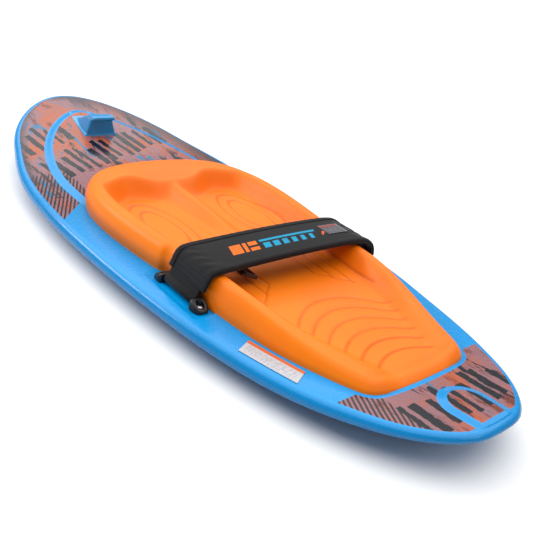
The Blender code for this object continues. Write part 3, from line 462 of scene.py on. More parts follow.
def webbing_look(name="webbing", along='X'):
    s = Look(name, 0.8, Sheen_Weight=0.10, Sheen_Roughness=0.5, Specular_IOR_Level=0.25)
    turn = 0.0 if along == 'Y' else math.pi / 2
    rib = s.node("ShaderNodeTexWave", Vector=s.coords((1, 1, 1), turn), Scale=95.0, Distortion=0.3,
                 Detail=1.0, output=1)
    pick = s.node("ShaderNodeTexWave", Vector=s.coords((1, 1, 1), turn + math.pi / 2), Scale=160.0,
                  Distortion=0.4, output=1)
    weave = s.add(s.mul(rib, 0.7), s.mul(s.mul(rib, pick), 0.6))
    fuzz = s.noise(1500, 3, 0.7)
    s.colour(s.mix(s.remap(weave, 0.1, 1.1), linear(12, 12, 13), linear(34, 34, 37)))
    s.roughness(s.remap(fuzz, 0.3, 0.7, 0.70, 0.90))
    s.bump(s.add(weave, s.mul(fuzz, 0.4)), 0.6, 0.0006)
    return s.mat


def nylon_look():
    s = Look("moulded_nylon", 0.36, Specular_IOR_Level=0.5)
    grain = s.noise(1100, 3, 0.6)
    scuff = s.noise(60, 5, 0.7, s.coords((1, 5, 1)))
    s.colour(s.mix(s.remap(scuff, 0.55, 0.75, 0.0, 0.5), linear(20, 20, 22), linear(58, 58, 60)))
    s.roughness(s.remap(scuff, 0.3, 0.7, 0.28, 0.50))
    s.bump(grain, 0.18, 0.0003)
    return s.mat


def metal_look(name, colour, rough):
    s = Look(name, rough, 1.0)
    swirl = s.noise(900, 3, 0.6, s.coords((1, 1, 6)))
    s.colour(s.mix(s.remap(swirl, 0.3, 0.7), colour, tuple(c * 0.72 for c in colour)))
    s.roughness(s.remap(swirl, 0.3, 0.7, rough * 0.7, rough * 1.5))
    s.bump(swirl, 0.12, 0.0002)
    return s.mat


def rubber_look(name, colour, rough=0.6):
    s = Look(name, rough)
    grain = s.noise(1200, 3, 0.6)
    s.colour(s.mix(s.remap(grain, 0.35, 0.7), colour, tuple(c * 1.9 + 0.004 for c in colour)))
    s.roughness(s.remap(grain, 0.3, 0.7, rough * 0.85, min(1.0, rough * 1.15)))
    s.bump(grain, 0.25, 0.0003)
    return s.mat


def foam_look():
    s = Look("rigid_foam", 0.95)
    cells = s.node("ShaderNodeTexVoronoi", Vector=s.coords(), Scale=420.0)
    s.colour(s.mix(s.remap(cells, 0.1, 0.7), linear(232, 214, 160), linear(190, 168, 112)))
    s.bump(cells, 0.6, 0.0010)
    return s.mat


def tape_look(name, tufts):
    s = Look(name, 0.95, Sheen_Weight=0.4, Sheen_Roughness=0.6)
    tuft = s.node("ShaderNodeTexVoronoi", Vector=s.coords(), Scale=tufts)
    s.colour(s.mix(s.remap(tuft, 0.0, 0.6), linear(52, 52, 55), linear(14, 14, 15)))
    s.bump(tuft, 0.9, 0.0010)
    return s.mat


def label_look():
    """Silver vinyl label: an accent edge on the pad's side and rows of plain grey ticks, no lettering."""
    s = Look("vinyl_label", 0.42, Coat_Weight=0.2)
    x, y, _ = s.axes()
    turn = math.radians(-14.2)
    du = s.sub(x, -0.1718)
    dv = s.sub(y, -0.3768)
    across = s.add(s.mul(du, math.cos(turn)), s.mul(dv, -math.sin(turn)))
    along = s.add(s.mul(du, math.sin(turn)), s.mul(dv, math.cos(turn)))
    rows = s.remap(s.math('SINE', s.mul(across, 2 * math.pi / 0.0026)), 0.1, 0.5)
    ticks = s.remap(s.noise(520, 1, 0.5, s.coords((0.3, 1, 1))), 0.46, 0.52)
    area = s.mul(band(s, across, -0.0125, 0.0060), band(s, along, -0.043, 0.043))
    grain = s.noise(700, 2, 0.5)
    base = s.mix(s.remap(grain, 0.3, 0.7), linear(196, 198, 202), linear(174, 176, 182))
    base = s.mix(s.mul(s.mul(rows, ticks), s.mul(area, 0.7)), base,
                 linear(96, 98, 106))
    base = s.mix(s.remap(across, 0.0085, 0.0091), base, linear(206, 98, 40))
    s.colour(base)
    s.bump(grain, 0.08, 0.0002)
    return s.mat


def patch_look():
    s = Look("woven_patch", 0.85, Sheen_Weight=0.2)
    x, y, _ = s.axes()
    v = s.sub(y, STRAP_Y)
    head = band(s, v, 0.0075, 0.0135)
    frame_line = s.sub(1.0, s.mul(band(s, x, 0.101, 0.1435), band(s, v, -0.0142, 0.0142)))
    rows = s.remap(s.math('SINE', s.mul(v, 2 * math.pi / 0.0027)), 0.2, 0.5)
    ticks = s.remap(s.noise(600, 1, 0.5, s.coords((1, 0.2, 1))), 0.44, 0.50)
    tick_zone = s.mul(band(s, x, 0.104, 0.139), band(s, v, -0.0115, 0.0055))
    weave = s.node("ShaderNodeTexWave", Vector=s.coords(), Scale=260.0, output=1)
    base = s.mix(weave, linear(54, 54, 58), linear(74, 74, 80))
    base = s.mix(s.mul(s.mul(rows, ticks), s.mul(tick_zone, 0.55)), base,
                 linear(150, 150, 155))
    base = s.mix(s.mul(head, 0.85), base, linear(150, 42, 38))
    base = s.mix(s.mul(frame_line, 0.6), base, linear(120, 120, 124))
    s.colour(base)
    s.bump(weave, 0.3, 0.0004)
    return s.mat


# ---------------------------------------------------------------- hull
def slanted_bars():
    """Dark slanted bars of the deck print, as quads: two rows at the nose and one at the tail."""
    quads = []

    def row(origin, heading, height, start, stop, width, pitch, lean, wobble):
        c, s = math.cos(heading), math.sin(heading)
        k, a = 0, start
        while a < stop:
            tall = height * (1.0 - 0.22 * ((k * 7) % 3) / 2)
            foot = wobble * ((k * 5) % 4) / 3
            wide = width * (0.75 + 0.5 * ((k * 3) % 4) / 3)
            shift = a + lean * tall
            corners = [(a, foot), (a + wide, foot), (a + wide + lean * tall, foot + tall), (shift, foot + tall)]
            quads.append([(origin[0] + c * p - s * q, origin[1] + s * p + c * q) for p, q in corners])
            a += wide + pitch * (0.7 + 0.6 * ((k * 5) % 3) / 2)
            k += 1

    row((-0.168, 0.255), math.radians(24), 0.088, 0.0, 0.36, 0.0135, 0.0130, 0.22, 0.010)
    row((-0.205, 0.365), math.radians(24), 0.080, 0.0, 0.165, 0.0135, 0.0150, 0.22, 0.010)
    row((-0.100, -0.606), math.radians(3), 0.072, 0.0, 0.215, 0.0125, 0.0120, 0.10, 0.006)
    return quads


def graphic_sdf(x, y):
    """Signed distance into the printed areas of the deck, in metres."""
    u = np.abs(x)
    edge = np.minimum(half_width(y) * (1 - 0.012 / 0.255) - u, HALF - 0.012 - np.abs(y))
    ridge = np.abs(signed_distance(NOSE_RIDGE, x, y)) - NOSE_BAND
    inner = signed_distance(NOSE_RIDGE, x, y)
    outer_limit = (y - 0.108) * 0.72 - (0.240 - u) * 0.72
    nose = np.minimum(edge + 0.004 * smoothstep(0.45, 0.60, y) - 0.003, ridge)
    nose = np.where(inner > 0, np.minimum(nose, y - 0.165), np.minimum(nose, outer_limit))
    nose = np.where(y > 0.09, nose, -0.05)
    arch = np.abs(signed_distance(TAIL_ARCH, x, y)) - TAIL_BAND
    beyond_pad = -signed_distance(np.vstack([PAD_HALF, (PAD_HALF * (-1, 1))[::-1][1:-1]]), x, y, True)
    tail = np.minimum(np.minimum(edge - 0.007, arch), np.minimum(beyond_pad - 0.0065, -0.486 - y))
    return np.maximum(nose, np.where(y < -0.47, tail, -0.05))


def hull_skin():
    rows, columns = 400, 150
    angle = np.linspace(0, math.pi, rows + 1)[1:-1]
    y0 = -HALF * np.cos(angle)
    w0 = half_width(y0)
    inset = 0.012
    u = np.linspace(-1, 1, columns + 1)
    x = w0[:, None] * (1 - inset / 0.255) * u[None, :]
    y = np.repeat((y0 * (1 - inset / HALF))[:, None], columns + 1, 1)
    z = deck_height(x, y)
    verts = np.stack([x, y, z], -1).reshape(-1, 3).tolist()
    n_rows = len(y0)
    faces = []
    for r in range(n_rows - 1):
        a, b = r * (columns + 1), (r + 1) * (columns + 1)
        faces += [(a + i, a + i + 1, b + i + 1, b + i) for i in range(columns)]
    deck_count = len(verts)
    tip_low, tip_high = len(verts), len(verts) + 1
    for sign in (-1, 1):
        ty = sign * (HALF - inset)
        verts.append([0.0, ty, float(deck_height(np.array([0.0]), np.array([ty]))[0])])
    faces += [(tip_low, i + 1, i) for i in range(columns)]
    last = (n_rows - 1) * (columns + 1)
    faces += [(tip_high, last + i, last + i + 1) for i in range(columns)]
    loop = [tip_low] + [r * (columns + 1) + columns for r in range(n_rows)] + [tip_high]
    loop += [r * (columns + 1) for r in reversed(range(n_rows))]
    plan = np.vstack([[0, -HALF], np.column_stack([w0, y0]), [0, HALF], np.column_stack([-w0, y0])[::-1]])
    section = spline(((0.012, 1.0, 0), (0.0065, 0.945, 0), (0.0020, 0.76, 0), (0.0, 0.47, 0), (0.0045, 0.19, 0),
                      (0.018, 0.0, 0.10), (0.048, 0.0, 0.72), (0.078, 0.0, 1.0)), 4)[1:]
    count = len(loop)
    previous = loop
    under = [0.0] * len(verts)
    for depth, (d, rail_share, belly_share) in enumerate(section):
        belly_share, rail_share = max(0.0, min(1.0, belly_share)), max(0.0, rail_share)
        start = len(verts)
        qx, qy = plan[:, 0] * (1 - d / 0.255), plan[:, 1] * (1 - d / HALF)
        qz = BELLY_DEPTH + lift(qy) + rail_height(qy) * rail_share - belly_depth(qy) * belly_share
        verts += np.column_stack([qx, qy, np.clip(qz, 0.0, None)]).tolist()
        # painted shade share: 0 at the deck edge, growing ring by ring to 1 at the sixteenth ring down the rail
        under += [min(1.0, depth / 16)] * count
        current = list(range(start, start + count))
        faces += [(previous[i - 1], current[i - 1], current[i], previous[i]) for i in range(count)]
        previous = current
    half = count // 2
    faces += [(previous[0], previous[1], previous[-1])]
    faces += [(previous[i], previous[i + 1], previous[count - i - 1], previous[count - i])
              for i in range(1, half - 1)]
    faces += [(previous[half - 1], previous[half], previous[half + 1])]
    hull = make("hull_skin", verts, faces, hull_look(), "board", ("hull_shell",), 60)
    pts = np.array(verts)
    px, py = pts[:, 0], pts[:, 1]
    on_deck = np.zeros(len(pts), bool)
    on_deck[:deck_count + 2] = True
    attribute(hull, "under", under)
    attribute(hull, "graphic", np.where(on_deck, graphic_sdf(px, py), -0.02))
    bars = np.full(len(pts), -0.05)
    for quad in slanted_bars():
        near = on_deck & (np.abs(px - quad[0][0]) < 0.14) & (np.abs(py - quad[0][1]) < 0.14)
        if near.any():
            d = signed_distance(quad, px[near], py[near], True)
            bars[near] = np.maximum(bars[near], d)
    attribute(hull, "bars", bars)
    rim = np.minimum(half_width(py) * (1 - 0.012 / 0.255) - np.abs(px), (HALF - 0.012 - np.abs(py)))
    attribute(hull, "rim", np.where(py > 0.25, np.where(px > 0, rim * 0.6, rim * 1.8), 0.5))
    zone = smoothstep(0.32, 0.26, py) * (px < -0.15) * (py > 0.09) + smoothstep(-0.085, -0.105, px) * (py < -0.47)
    attribute(hull, "lines", np.clip(zone, 0, 1))
    return hull


def hook_skin():
    """Tow hook: wedge that rises towards the rider, undercut at the back, with a rounded lip."""
    rear, front, height = 0.436, 0.548, 0.050
    base = float(deck_level(rear)) - 0.003
    top = float(deck_level(rear)) + height

    def section(y, high_z, low_half, top_half, low_z):
        r = 0.003
        return [(-low_half, y, low_z), (-top_half, y, high_z - r), (-top_half + r, y, high_z),
                (top_half - r, y, high_z), (top_half, y, high_z - r), (low_half, y, low_z)]

    rings = [section(rear + 0.0040, top - 0.009, 0.0385, 0.0260, base),
             section(rear + 0.014, top - 0.001, 0.0375, 0.0255, base + 0.001),
             section(rear + 0.045, top - 0.013, 0.0345, 0.0235, base + 0.006),
             section(rear + 0.080, top - 0.031, 0.0310, 0.0210, base + 0.012),
             section(front, float(deck_level(front)) + 0.0005, 0.0265, 0.0180, base + 0.016)]
    body = make("tow_hook", [p for r in rings for p in r], skin(5, 6), None, None)
    lip = []
    for y, z0, z1 in ((rear - 0.006, top - 0.0080, top - 0.0025), (rear - 0.002, top - 0.0095, top),
                      (rear + 0.020, top - 0.011, top - 0.001)):
        wide = 0.0265
        lip += [(-wide, y, z0), (-wide, y, z1 - 0.0015), (-wide + 0.004, y, z1), (wide - 0.004, y, z1),
                (wide, y, z1 - 0.0015), (wide, y, z0)]
    flange = []
    for grow, rise in ((0.0045, 0.0012), (0.0020, 0.0028), (0.0, 0.007)):
        for cx, cy in ((-0.0385, rear + 0.004), (0.0385, rear + 0.004), (0.0265, front), (-0.0265, front)):
            sx, sy = math.copysign(1, cx), (-1 if cy < 0.5 else 1)
            yy = cy + sy * grow
            flange.append((cx + sx * grow, yy, float(deck_level(yy)) + 0.0042 * (yy < 0.53) + rise - 0.004))
    other = make("lip", lip, skin(3, 6), None, None)
    foot = make("foot", flange, skin(3, 4), None, None)
    for tool in (other, foot):
        mod = body.modifiers.new("join", 'BOOLEAN')
        mod.operation, mod.solver, mod.object = 'UNION', 'EXACT', tool
        bake_modifiers(body)
        bpy.data.objects.remove(tool, do_unlink=True)
    moulded(body, 0.0012, 5)
    body.data.materials.clear()
    body.data.materials.append(bpy.data.materials["hook_gloss"])
    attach(body, "board")
    return body


def hook_look():
    s = Look("hook_gloss", 0.2, Coat_Weight=0.4, Coat_Roughness=0.06, Specular_IOR_Level=0.55)
    cloudy = s.noise(14, 3, 0.5)
    s.colour(s.mix(s.remap(cloudy, 0.3, 0.7), linear(0, 150, 216), linear(0, 138, 204)))
    s.roughness(s.remap(s.noise(160, 3, 0.6), 0.3, 0.7, 0.16, 0.26))
    s.bump(s.noise(300, 2, 0.5), 0.10, 0.0003)
    return s.mat


# ---------------------------------------------------------------- knee pad
def pad_crest(y):
    return 0.045 + 0.002 * smoothstep(0.12, 0.20, y) - 0.026 * smoothstep(-0.24, -0.49, y)


def grooves(x, y):
    """Depth share, 0 to 1, of the moulded lines on the pad."""
    u = np.abs(x)
    total = np.zeros(np.shape(x))

    def cut(distance, fade, half):
        return np.exp(-(distance / half) ** 2) * fade

    for apex in (-0.294, -0.325, -0.357, -0.389, -0.420, -0.450):
        reach = 0.118 - 0.045 * smoothstep(-0.34, -0.45, apex)
        d = (y - (apex - 5.5 * x * x)) / np.sqrt(1 + (11 * x) ** 2)
        rail = pad_half(y) - 0.040 - 0.012 * smoothstep(-0.25, -0.45, y) - u
        fade = smoothstep(reach + 0.008, reach - 0.010, u) * smoothstep(0.0, 0.010, rail)
        total = np.maximum(total, cut(d, fade, 0.0023))
    for line, end in ((0.052, -0.225), (0.077, -0.250), (0.102, -0.275), (0.124, -0.300)):
        d = u - line - (y + 0.20) * 0.06
        fade = smoothstep(end - 0.003, end + 0.003, y) * smoothstep(-0.03, -0.09, y)
        total = np.maximum(total, cut(d, fade, 0.0017))
        if line < 0.10:
            step = (y - end + (u - line) * 0.9) / 1.35
            fade = smoothstep(line - 0.002, line + 0.001, u) * smoothstep(line + 0.027, line + 0.024, u)
            total = np.maximum(total, cut(step, fade, 0.0014))
    for rx, ry in ((0.045, 0.100), (0.026, 0.070)):
        r = np.hypot((u - 0.100) / rx, (y - 0.008) / ry)
        total = np.maximum(total, 0.9 * cut((r - 1) * rx, smoothstep(-0.16, -0.06, y), 0.0018))
    return total


def soft_min(sharpness, *values):
    return -np.log(sum(np.exp(-v * sharpness) for v in values)) / sharpness


def pad_height(x, y):
    """Height of the pad's top above the deck: troughs for the shins, wells for the knees, a spine."""
    u = np.abs(x)
    crest = pad_crest(y)
    spine = 0.030 * smoothstep(-0.30, 0.10, y) + 0.004
    spine_half = 0.040 * np.clip((y + 0.243) / 0.28, 0, 1)
    outer = pad_half(y) - 0.040 - 0.012 * smoothstep(-0.25, -0.45, y)
    floor = 0.012 - 0.002 * smoothstep(-0.10, 0.05, y)
    front = 0.140 + 0.010 * np.cos(np.clip(np.abs(u - 0.095) / 0.06, 0, 1) * math.pi)
    inner = np.sqrt(u * u + 0.008 ** 2) - spine_half * 0.4 + 0.05 * smoothstep(-0.243, -0.262, y)
    into = soft_min(260, outer - u, (front - y) * 0.9, inner)
    trough = smoothstep(-0.015, 0.019, into)
    low = 1 - smoothstep(0.02, 0.09, u)
    land = crest + (np.maximum(spine, floor) - crest) * low * smoothstep(0.20, 0.12, y)
    rear = smoothstep(-0.500, -0.470, y)
    return np.maximum(0.010, land + (floor - land) * trough) * (0.58 + 0.42 * rear)


def pad_skin():
    half = PAD_HALF
    outline = np.vstack([half, (half * (-1, 1))[::-1][1:-1]])
    # even spacing round the outline
    closed = np.vstack([outline, outline[:1]])
    length = np.concatenate([[0], np.cumsum(np.hypot(*np.diff(closed, axis=0).T))])
    count = 560
    s = np.arange(count) / count * length[-1]
    loop = np.column_stack([np.interp(s, length, closed[:, k]) for k in (0, 1)])
    ahead, behind = np.roll(loop, -1, 0), np.roll(loop, 1, 0)
    tangent = ahead - behind
    normal = np.column_stack([tangent[:, 1], -tangent[:, 0]])
    normal /= np.linalg.norm(normal, axis=1)[:, None]
    centre = loop.mean(0)
    if ((loop - centre) * normal).sum() < 0:
        normal = -normal
    for _ in range(10):
        normal = (np.roll(normal, 1, 0) + normal * 2 + np.roll(normal, -1, 0)) / 4
        normal /= np.linalg.norm(normal, axis=1)[:, None]
    depth = 0.021
    inner = loop - normal * depth
    wall_top = pad_height(inner[:, 0], inner[:, 1])
    full = spline(((0.0, -0.0022), (0.0, 0.10), (-0.0014, 0.32), (-0.0012, 0.52), (0.0020, 0.74), (0.0075, 0.90),
                   (0.0140, 0.975), (0.0210, 1.0)), 3)
    slanted = spline(((0.0, -0.0022), (0.0004, 0.10), (0.0020, 0.30), (0.0048, 0.52), (0.0085, 0.73), (0.0125, 0.90),
                      (0.0160, 0.975), (0.0210, 1.0)), 3)
    behind = smoothstep(-0.12, -0.26, loop[:, 1])[:, None]
    profile = np.stack([full, slanted], 1)
    rings = []
    for (d_full, share), (d_slant, _) in profile:
        p = loop - normal * (d_full + (d_slant - d_full) * behind)
        lowest = -0.0024
        height = lowest + (wall_top - lowest) * max(0.0, share)
        rings.append(np.column_stack([p, deck_level(p[:, 1]) + height]))
    steps = 86
    target = np.column_stack([np.zeros(count), np.clip(inner[:, 1], -0.400, 0.070)])
    for k in range(1, steps):
        p = inner + (target - inner) * (k / steps)
        height = pad_height(p[:, 0], p[:, 1]) - 0.0017 * grooves(p[:, 0], p[:, 1])
        rings.append(np.column_stack([p, deck_level(p[:, 1]) + height]))
    verts = np.vstack(rings)
    faces = skin(len(rings), count, caps=False)
    last = (len(rings) - 1) * count
    half_count = count // 2
    faces += [(last, last + 1, last + count - 1)]
    faces += [(last + i, last + i + 1, last + count - i - 1, last + count - i)
              for i in range(1, half_count - 1)]
    faces += [(last + half_count - 1, last + half_count, last + half_count + 1)]
    faces += [(0, count - 1, 1)]
    faces += [(i, count - i, count - i - 1, i + 1) for i in range(1, half_count - 1)]
    faces += [(half_count - 1, half_count + 1, half_count)]
    pad = make("knee_pad_skin", verts.tolist(), faces, pad_look(), "board", ("knee_pad",), 180)
    # mask of the painted shade in the grooves on the pad's top; the side wall rings get none
    groove_shade = grooves(verts[:, 0], verts[:, 1])
    groove_shade[:len(profile) * count] = 0
    attribute(pad, "groove_shade", groove_shade)
    return pad


# ---------------------------------------------------------------- strap
def strap_path(per_span=2):
    line = spline(COVER_LINE, per_span)
    ahead = np.vstack([line[1:], line[-1:]])
    behind = np.vstack([line[:1], line[:-1]])
    t = (ahead - behind)[:, :2]
    t /= np.linalg.norm(t, axis=1)[:, None]
    normal = np.column_stack([-t[:, 1], t[:, 0]])
    return line[:, :2] + (0, DECK), normal, line[:, 2], t


def strap_cover():
    """Padded cover: a soft envelope that pressure swells between its sewn edges and seams."""
    centre, normal, thick, _ = strap_path(9)
    half = STRAP_WIDTH / 2 - 0.0006
    across = 44
    v = np.linspace(-1, 1, across + 1)
    rings, pins = [], []
    for c, n, t in zip(centre, normal, thick):
        ring, pin = [], []
        for side, order in ((1, v), (-1, v[::-1][1:-1])):
            for w in order:
                crown = (1 - abs(w) ** 5) ** 0.5 if abs(w) < 1 else 0.0
                offset = side * (t - 0.0010) * (0.35 + 0.65 * crown)
                ring.append((c[0] + n[0] * offset, STRAP_Y + half * w, c[1] + n[1] * offset))
                pin.append(1.0 if abs(w) > 0.86 else 0.0)
        rings.append(ring)
        pins.append(pin)
    count = len(rings[0])
    verts = [p for r in rings for p in r]
    cover = make("padded_cover", verts, skin(len(rings), count),
                 cloth_look("cover_knit", linear(22, 22, 24), 700.0, True),
                 None)
    rest = np.array(verts)
    weights = np.array(pins)
    seams = [k for k, c in enumerate(centre) if abs(c[0] + 0.163) < 0.0035 or c[0] < -0.172 or c[0] > 0.194]
    weights[seams] = 1.0
    weights[:2] = 1.0
    weights[-2:] = 1.0
    group = cover.vertex_groups.new(name="sewn")
    flat = weights.ravel()
    group.add([int(i) for i in np.nonzero(flat > 0)[0]], 1.0, 'REPLACE')
    cloth = cover.modifiers.new("cloth", 'CLOTH')
    cloth.settings.vertex_group_mass = "sewn"
    cloth.settings.use_pressure = True
    cloth.settings.uniform_pressure_force = 4.0
    cloth.settings.effector_weights.gravity = 0.0
    cloth.settings.tension_stiffness = 12
    cloth.settings.compression_stiffness = 8
    cloth.settings.shear_stiffness = 6
    cloth.settings.bending_stiffness = 0.4
    cloth.settings.quality = 6
    cloth.point_cache.frame_end = 20
    for frame_number in range(1, 21):
        bpy.context.scene.frame_set(frame_number)
    evaluated = cover.evaluated_get(bpy.context.evaluated_depsgraph_get())
    moved = np.array([tuple(p.co) for p in evaluated.data.vertices])
    cover.modifiers.clear()
    bpy.context.scene.frame_set(1)
    step = moved - rest
    size = np.linalg.norm(step, axis=1)[:, None]
    step *= np.minimum(1.0, 0.0022 / np.maximum(size, 1e-9))
    rest = rest + step
    # shallow wrinkles where the cover bends over the pad's shoulders, and the crease at the port fold
    x, y, z = rest.T
    for place, depth, wave in ((-0.160, 0.0007, 300), (0.168, 0.0008, 260), (0.184, 0.0006, 340)):
        near = np.exp(-((x - place) / 0.012) ** 2)
        rest[:, 2] += depth * near * np.sin((y - STRAP_Y) * wave + x * 180) * (np.abs(y - STRAP_Y) < 0.043)
    for vert, p in zip(cover.data.vertices, rest):
        vert.co = p
    cover.data.update()
    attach(cover, "thigh_strap")
    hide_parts("strap_cover")
    return cover


def bindings(mat):
    """Folded tape round both long edges of the cover and across its starboard end."""
    centre, normal, thick, along = strap_path(8)
    for name, side in (("edge_front", 1), ("edge_rear", -1)):
        verts = []
        for k, (c, n, t) in enumerate(zip(centre, normal, thick)):
            tall = t * 0.80 + 0.0011 + 0.0002 * math.sin(k * 1.9)
            for a in np.linspace(-1, 1, 17):
                reach = 0.0034 * max(0.0, 1 - abs(a) ** 3) ** 0.5 - 0.0013 * math.exp(-(a / 0.2) ** 2)
                y = STRAP_Y + side * (STRAP_WIDTH / 2 - 0.0010 + reach)
                verts.append((c[0] + n[0] * tall * a, y, c[1] + n[1] * tall * a))
            for a, deep in ((0.99, 0.004), (0.90, 0.0085), (0.0, 0.0085), (-0.90, 0.0085), (-0.99, 0.004)):
                y = STRAP_Y + side * (STRAP_WIDTH / 2 - deep)
                verts.append((c[0] + n[0] * (tall + 0.0002) * a, y, c[1] + n[1] * (tall + 0.0002) * a))
        make(name, verts, skin(len(centre), 22), mat, "thigh_strap",
             ("binding_front" if side > 0 else "binding_rear",), 60)
    c, n, t, a = centre[-1], normal[-1], thick[-1], along[-1]
    verts = []
    for reach, wide, tall in ((-0.0060, 0.0440, 0.0050), (-0.0010, 0.0452, 0.0049), (0.0018, 0.0448, 0.0036),
                              (0.0030, 0.0430, 0.0015)):
        for k in range(20):
            g = 2 * math.pi * k / 20
            cy = math.copysign(abs(math.cos(g)) ** 0.35, math.cos(g)) * wide
            cn = math.copysign(abs(math.sin(g)) ** 0.8, math.sin(g)) * tall
            verts.append((c[0] + a[0] * reach + n[0] * cn, STRAP_Y + cy, c[1] + a[1] * reach + n[1] * cn))
    make("edge_end", verts, skin(4, 20), mat, "thigh_strap", ("binding_end",), 60)


def web_sleeve(name, bar, inner, ply, tail, tail_half, wide, mat, body, node):
    """Webbing sewn round a bar, with the flat tail of both plies, as a smooth extruded outline."""
    bar, tail = np.array(bar), np.array(tail)
    reach = np.linalg.norm(tail - bar)
    heading = math.atan2(*(tail - bar)[::-1])
    outer = inner + ply
    root = math.asin(min(0.95, tail_half / outer))
    arc = np.linspace(root * 1.35, 2 * math.pi - root * 1.35, 40)
    pts_out = [(reach, -tail_half), (reach, tail_half), (outer * 1.25, tail_half)]
    hole_angles = [-0.12, 0.12, root]
    for a in arc:
        pts_out.append((outer * math.cos(a), outer * math.sin(a)))
        hole_angles.append(a)
    pts_out.append((outer * 1.25, -tail_half))
    hole_angles.append(2 * math.pi - root)
    c, s = math.cos(heading), math.sin(heading)
    verts = []
    ys = [(-wide, 0.0006), (-wide + 0.0008, 0.0), (wide - 0.0008, 0.0), (wide, 0.0006)]
    count = len(pts_out)
    for y, shrink in ys:
        for p, a in zip(pts_out, hole_angles):
            r = math.hypot(*p)
            f = (r - shrink) / r
            verts.append((bar[0] + c * p[0] * f - s * p[1] * f, STRAP_Y + y,
                          bar[1] + s * p[0] * f + c * p[1] * f))
        for p, a in zip(pts_out, hole_angles):
            q = ((inner + shrink) * math.cos(a), (inner + shrink) * math.sin(a))
            verts.append((bar[0] + c * q[0] - s * q[1], STRAP_Y + y, bar[1] + s * q[0] + c * q[1]))
    faces = []
    for k in range(len(ys) - 1):
        a, b = 2 * k * count, 2 * (k + 1) * count
        for i in range(count):
            j = (i + 1) % count
            faces += [(a + i, a + j, b + j, b + i),
                      (a + count + j, a + count + i, b + count + i, b + count + j)]
    for k in (0, len(ys) - 1):
        a = 2 * k * count
        for i in range(count):
            j = (i + 1) % count
            faces.append((a + i, a + count + i, a + count + j, a + j))
    return make(name, verts, faces, mat, body, (node,), 50)


def moulded_ring(mat):
    """Rectangular ring with flat-sided bars, hung by its port bar in the sewn tab."""
    bar = Vector((RING_BAR[0], STRAP_Y, RING_BAR[1]))
    span, half_y, corner, r = 0.0290, 0.0385, 0.006, 0.0034
    plan = []
    for sx, sy, start in ((1, 1, 0), (-1, 1, 90), (-1, -1, 180), (1, -1, 270)):
        for k in range(7):
            a = math.radians(start + 15 * k)
            plan.append(Vector((sx * (span / 2 - corner) + corner * math.cos(a),
                                sy * (half_y - corner) + corner * math.sin(a))))
    droop = Matrix.Rotation(math.radians(24), 3, 'Y')
    verts = []
    for i, p in enumerate(plan):
        n = (plan[(i + 1) % len(plan)] - plan[i - 1])
        n = Vector((n.y, -n.x)).normalized()
        for k in range(16):
            t = 2 * math.pi * k / 16
            ct = math.copysign(abs(math.cos(t)) ** 0.7, math.cos(t)) * r
            st = math.copysign(abs(math.sin(t)) ** 0.7, math.sin(t)) * r * 0.95
            q = Vector((p.x + span / 2 + n.x * ct, p.y + n.y * ct, st))
            verts.append(droop @ q + bar)
    return make("moulded_ring", verts, skin(len(plan), 16, closed=True), mat, "ring",
                ("strap_ring",), 60)


def tether(mat):
    """Flat starboard webbing under the cover, down over the pad's shoulder."""
    centre, normal = strap_path(2)[:2]
    keep = (centre[:, 0] > 0.035) & (centre[:, 0] < 0.150)
    below = 0.0050 + 0.0003 + 0.0006 + 0.0012 + 0.0003 + 0.0006 + 0.0003 + 0.0010
    line = centre[keep] - normal[keep] * below
    wall = np.array([(0.1640, 0.0455), (0.1745, 0.0375), (0.1795, 0.0270), (0.1815, 0.0190)]) + (0, DECK)
    path = spline(np.vstack([line, wall]), 4)
    verts = []
    for i, p in enumerate(path):
        t = path[min(len(path) - 1, i + 1)] - path[max(0, i - 1)]
        t /= np.linalg.norm(t)
        n = np.array((-t[1], t[0]))
        for y, h in ((-0.038, -0.5), (-0.038, 0.5), (-0.0372, 1.0), (0.0372, 1.0), (0.038, 0.5), (0.038, -0.5),
                     (0.0372, -1.0), (-0.0372, -1.0)):
            verts.append((p[0] + n[0] * 0.001 * h, STRAP_Y + y, p[1] + n[1] * 0.001 * h))
    return make("tether_web", verts, skin(len(path), 8), mat, "board", ("webbing_starboard",), 50)


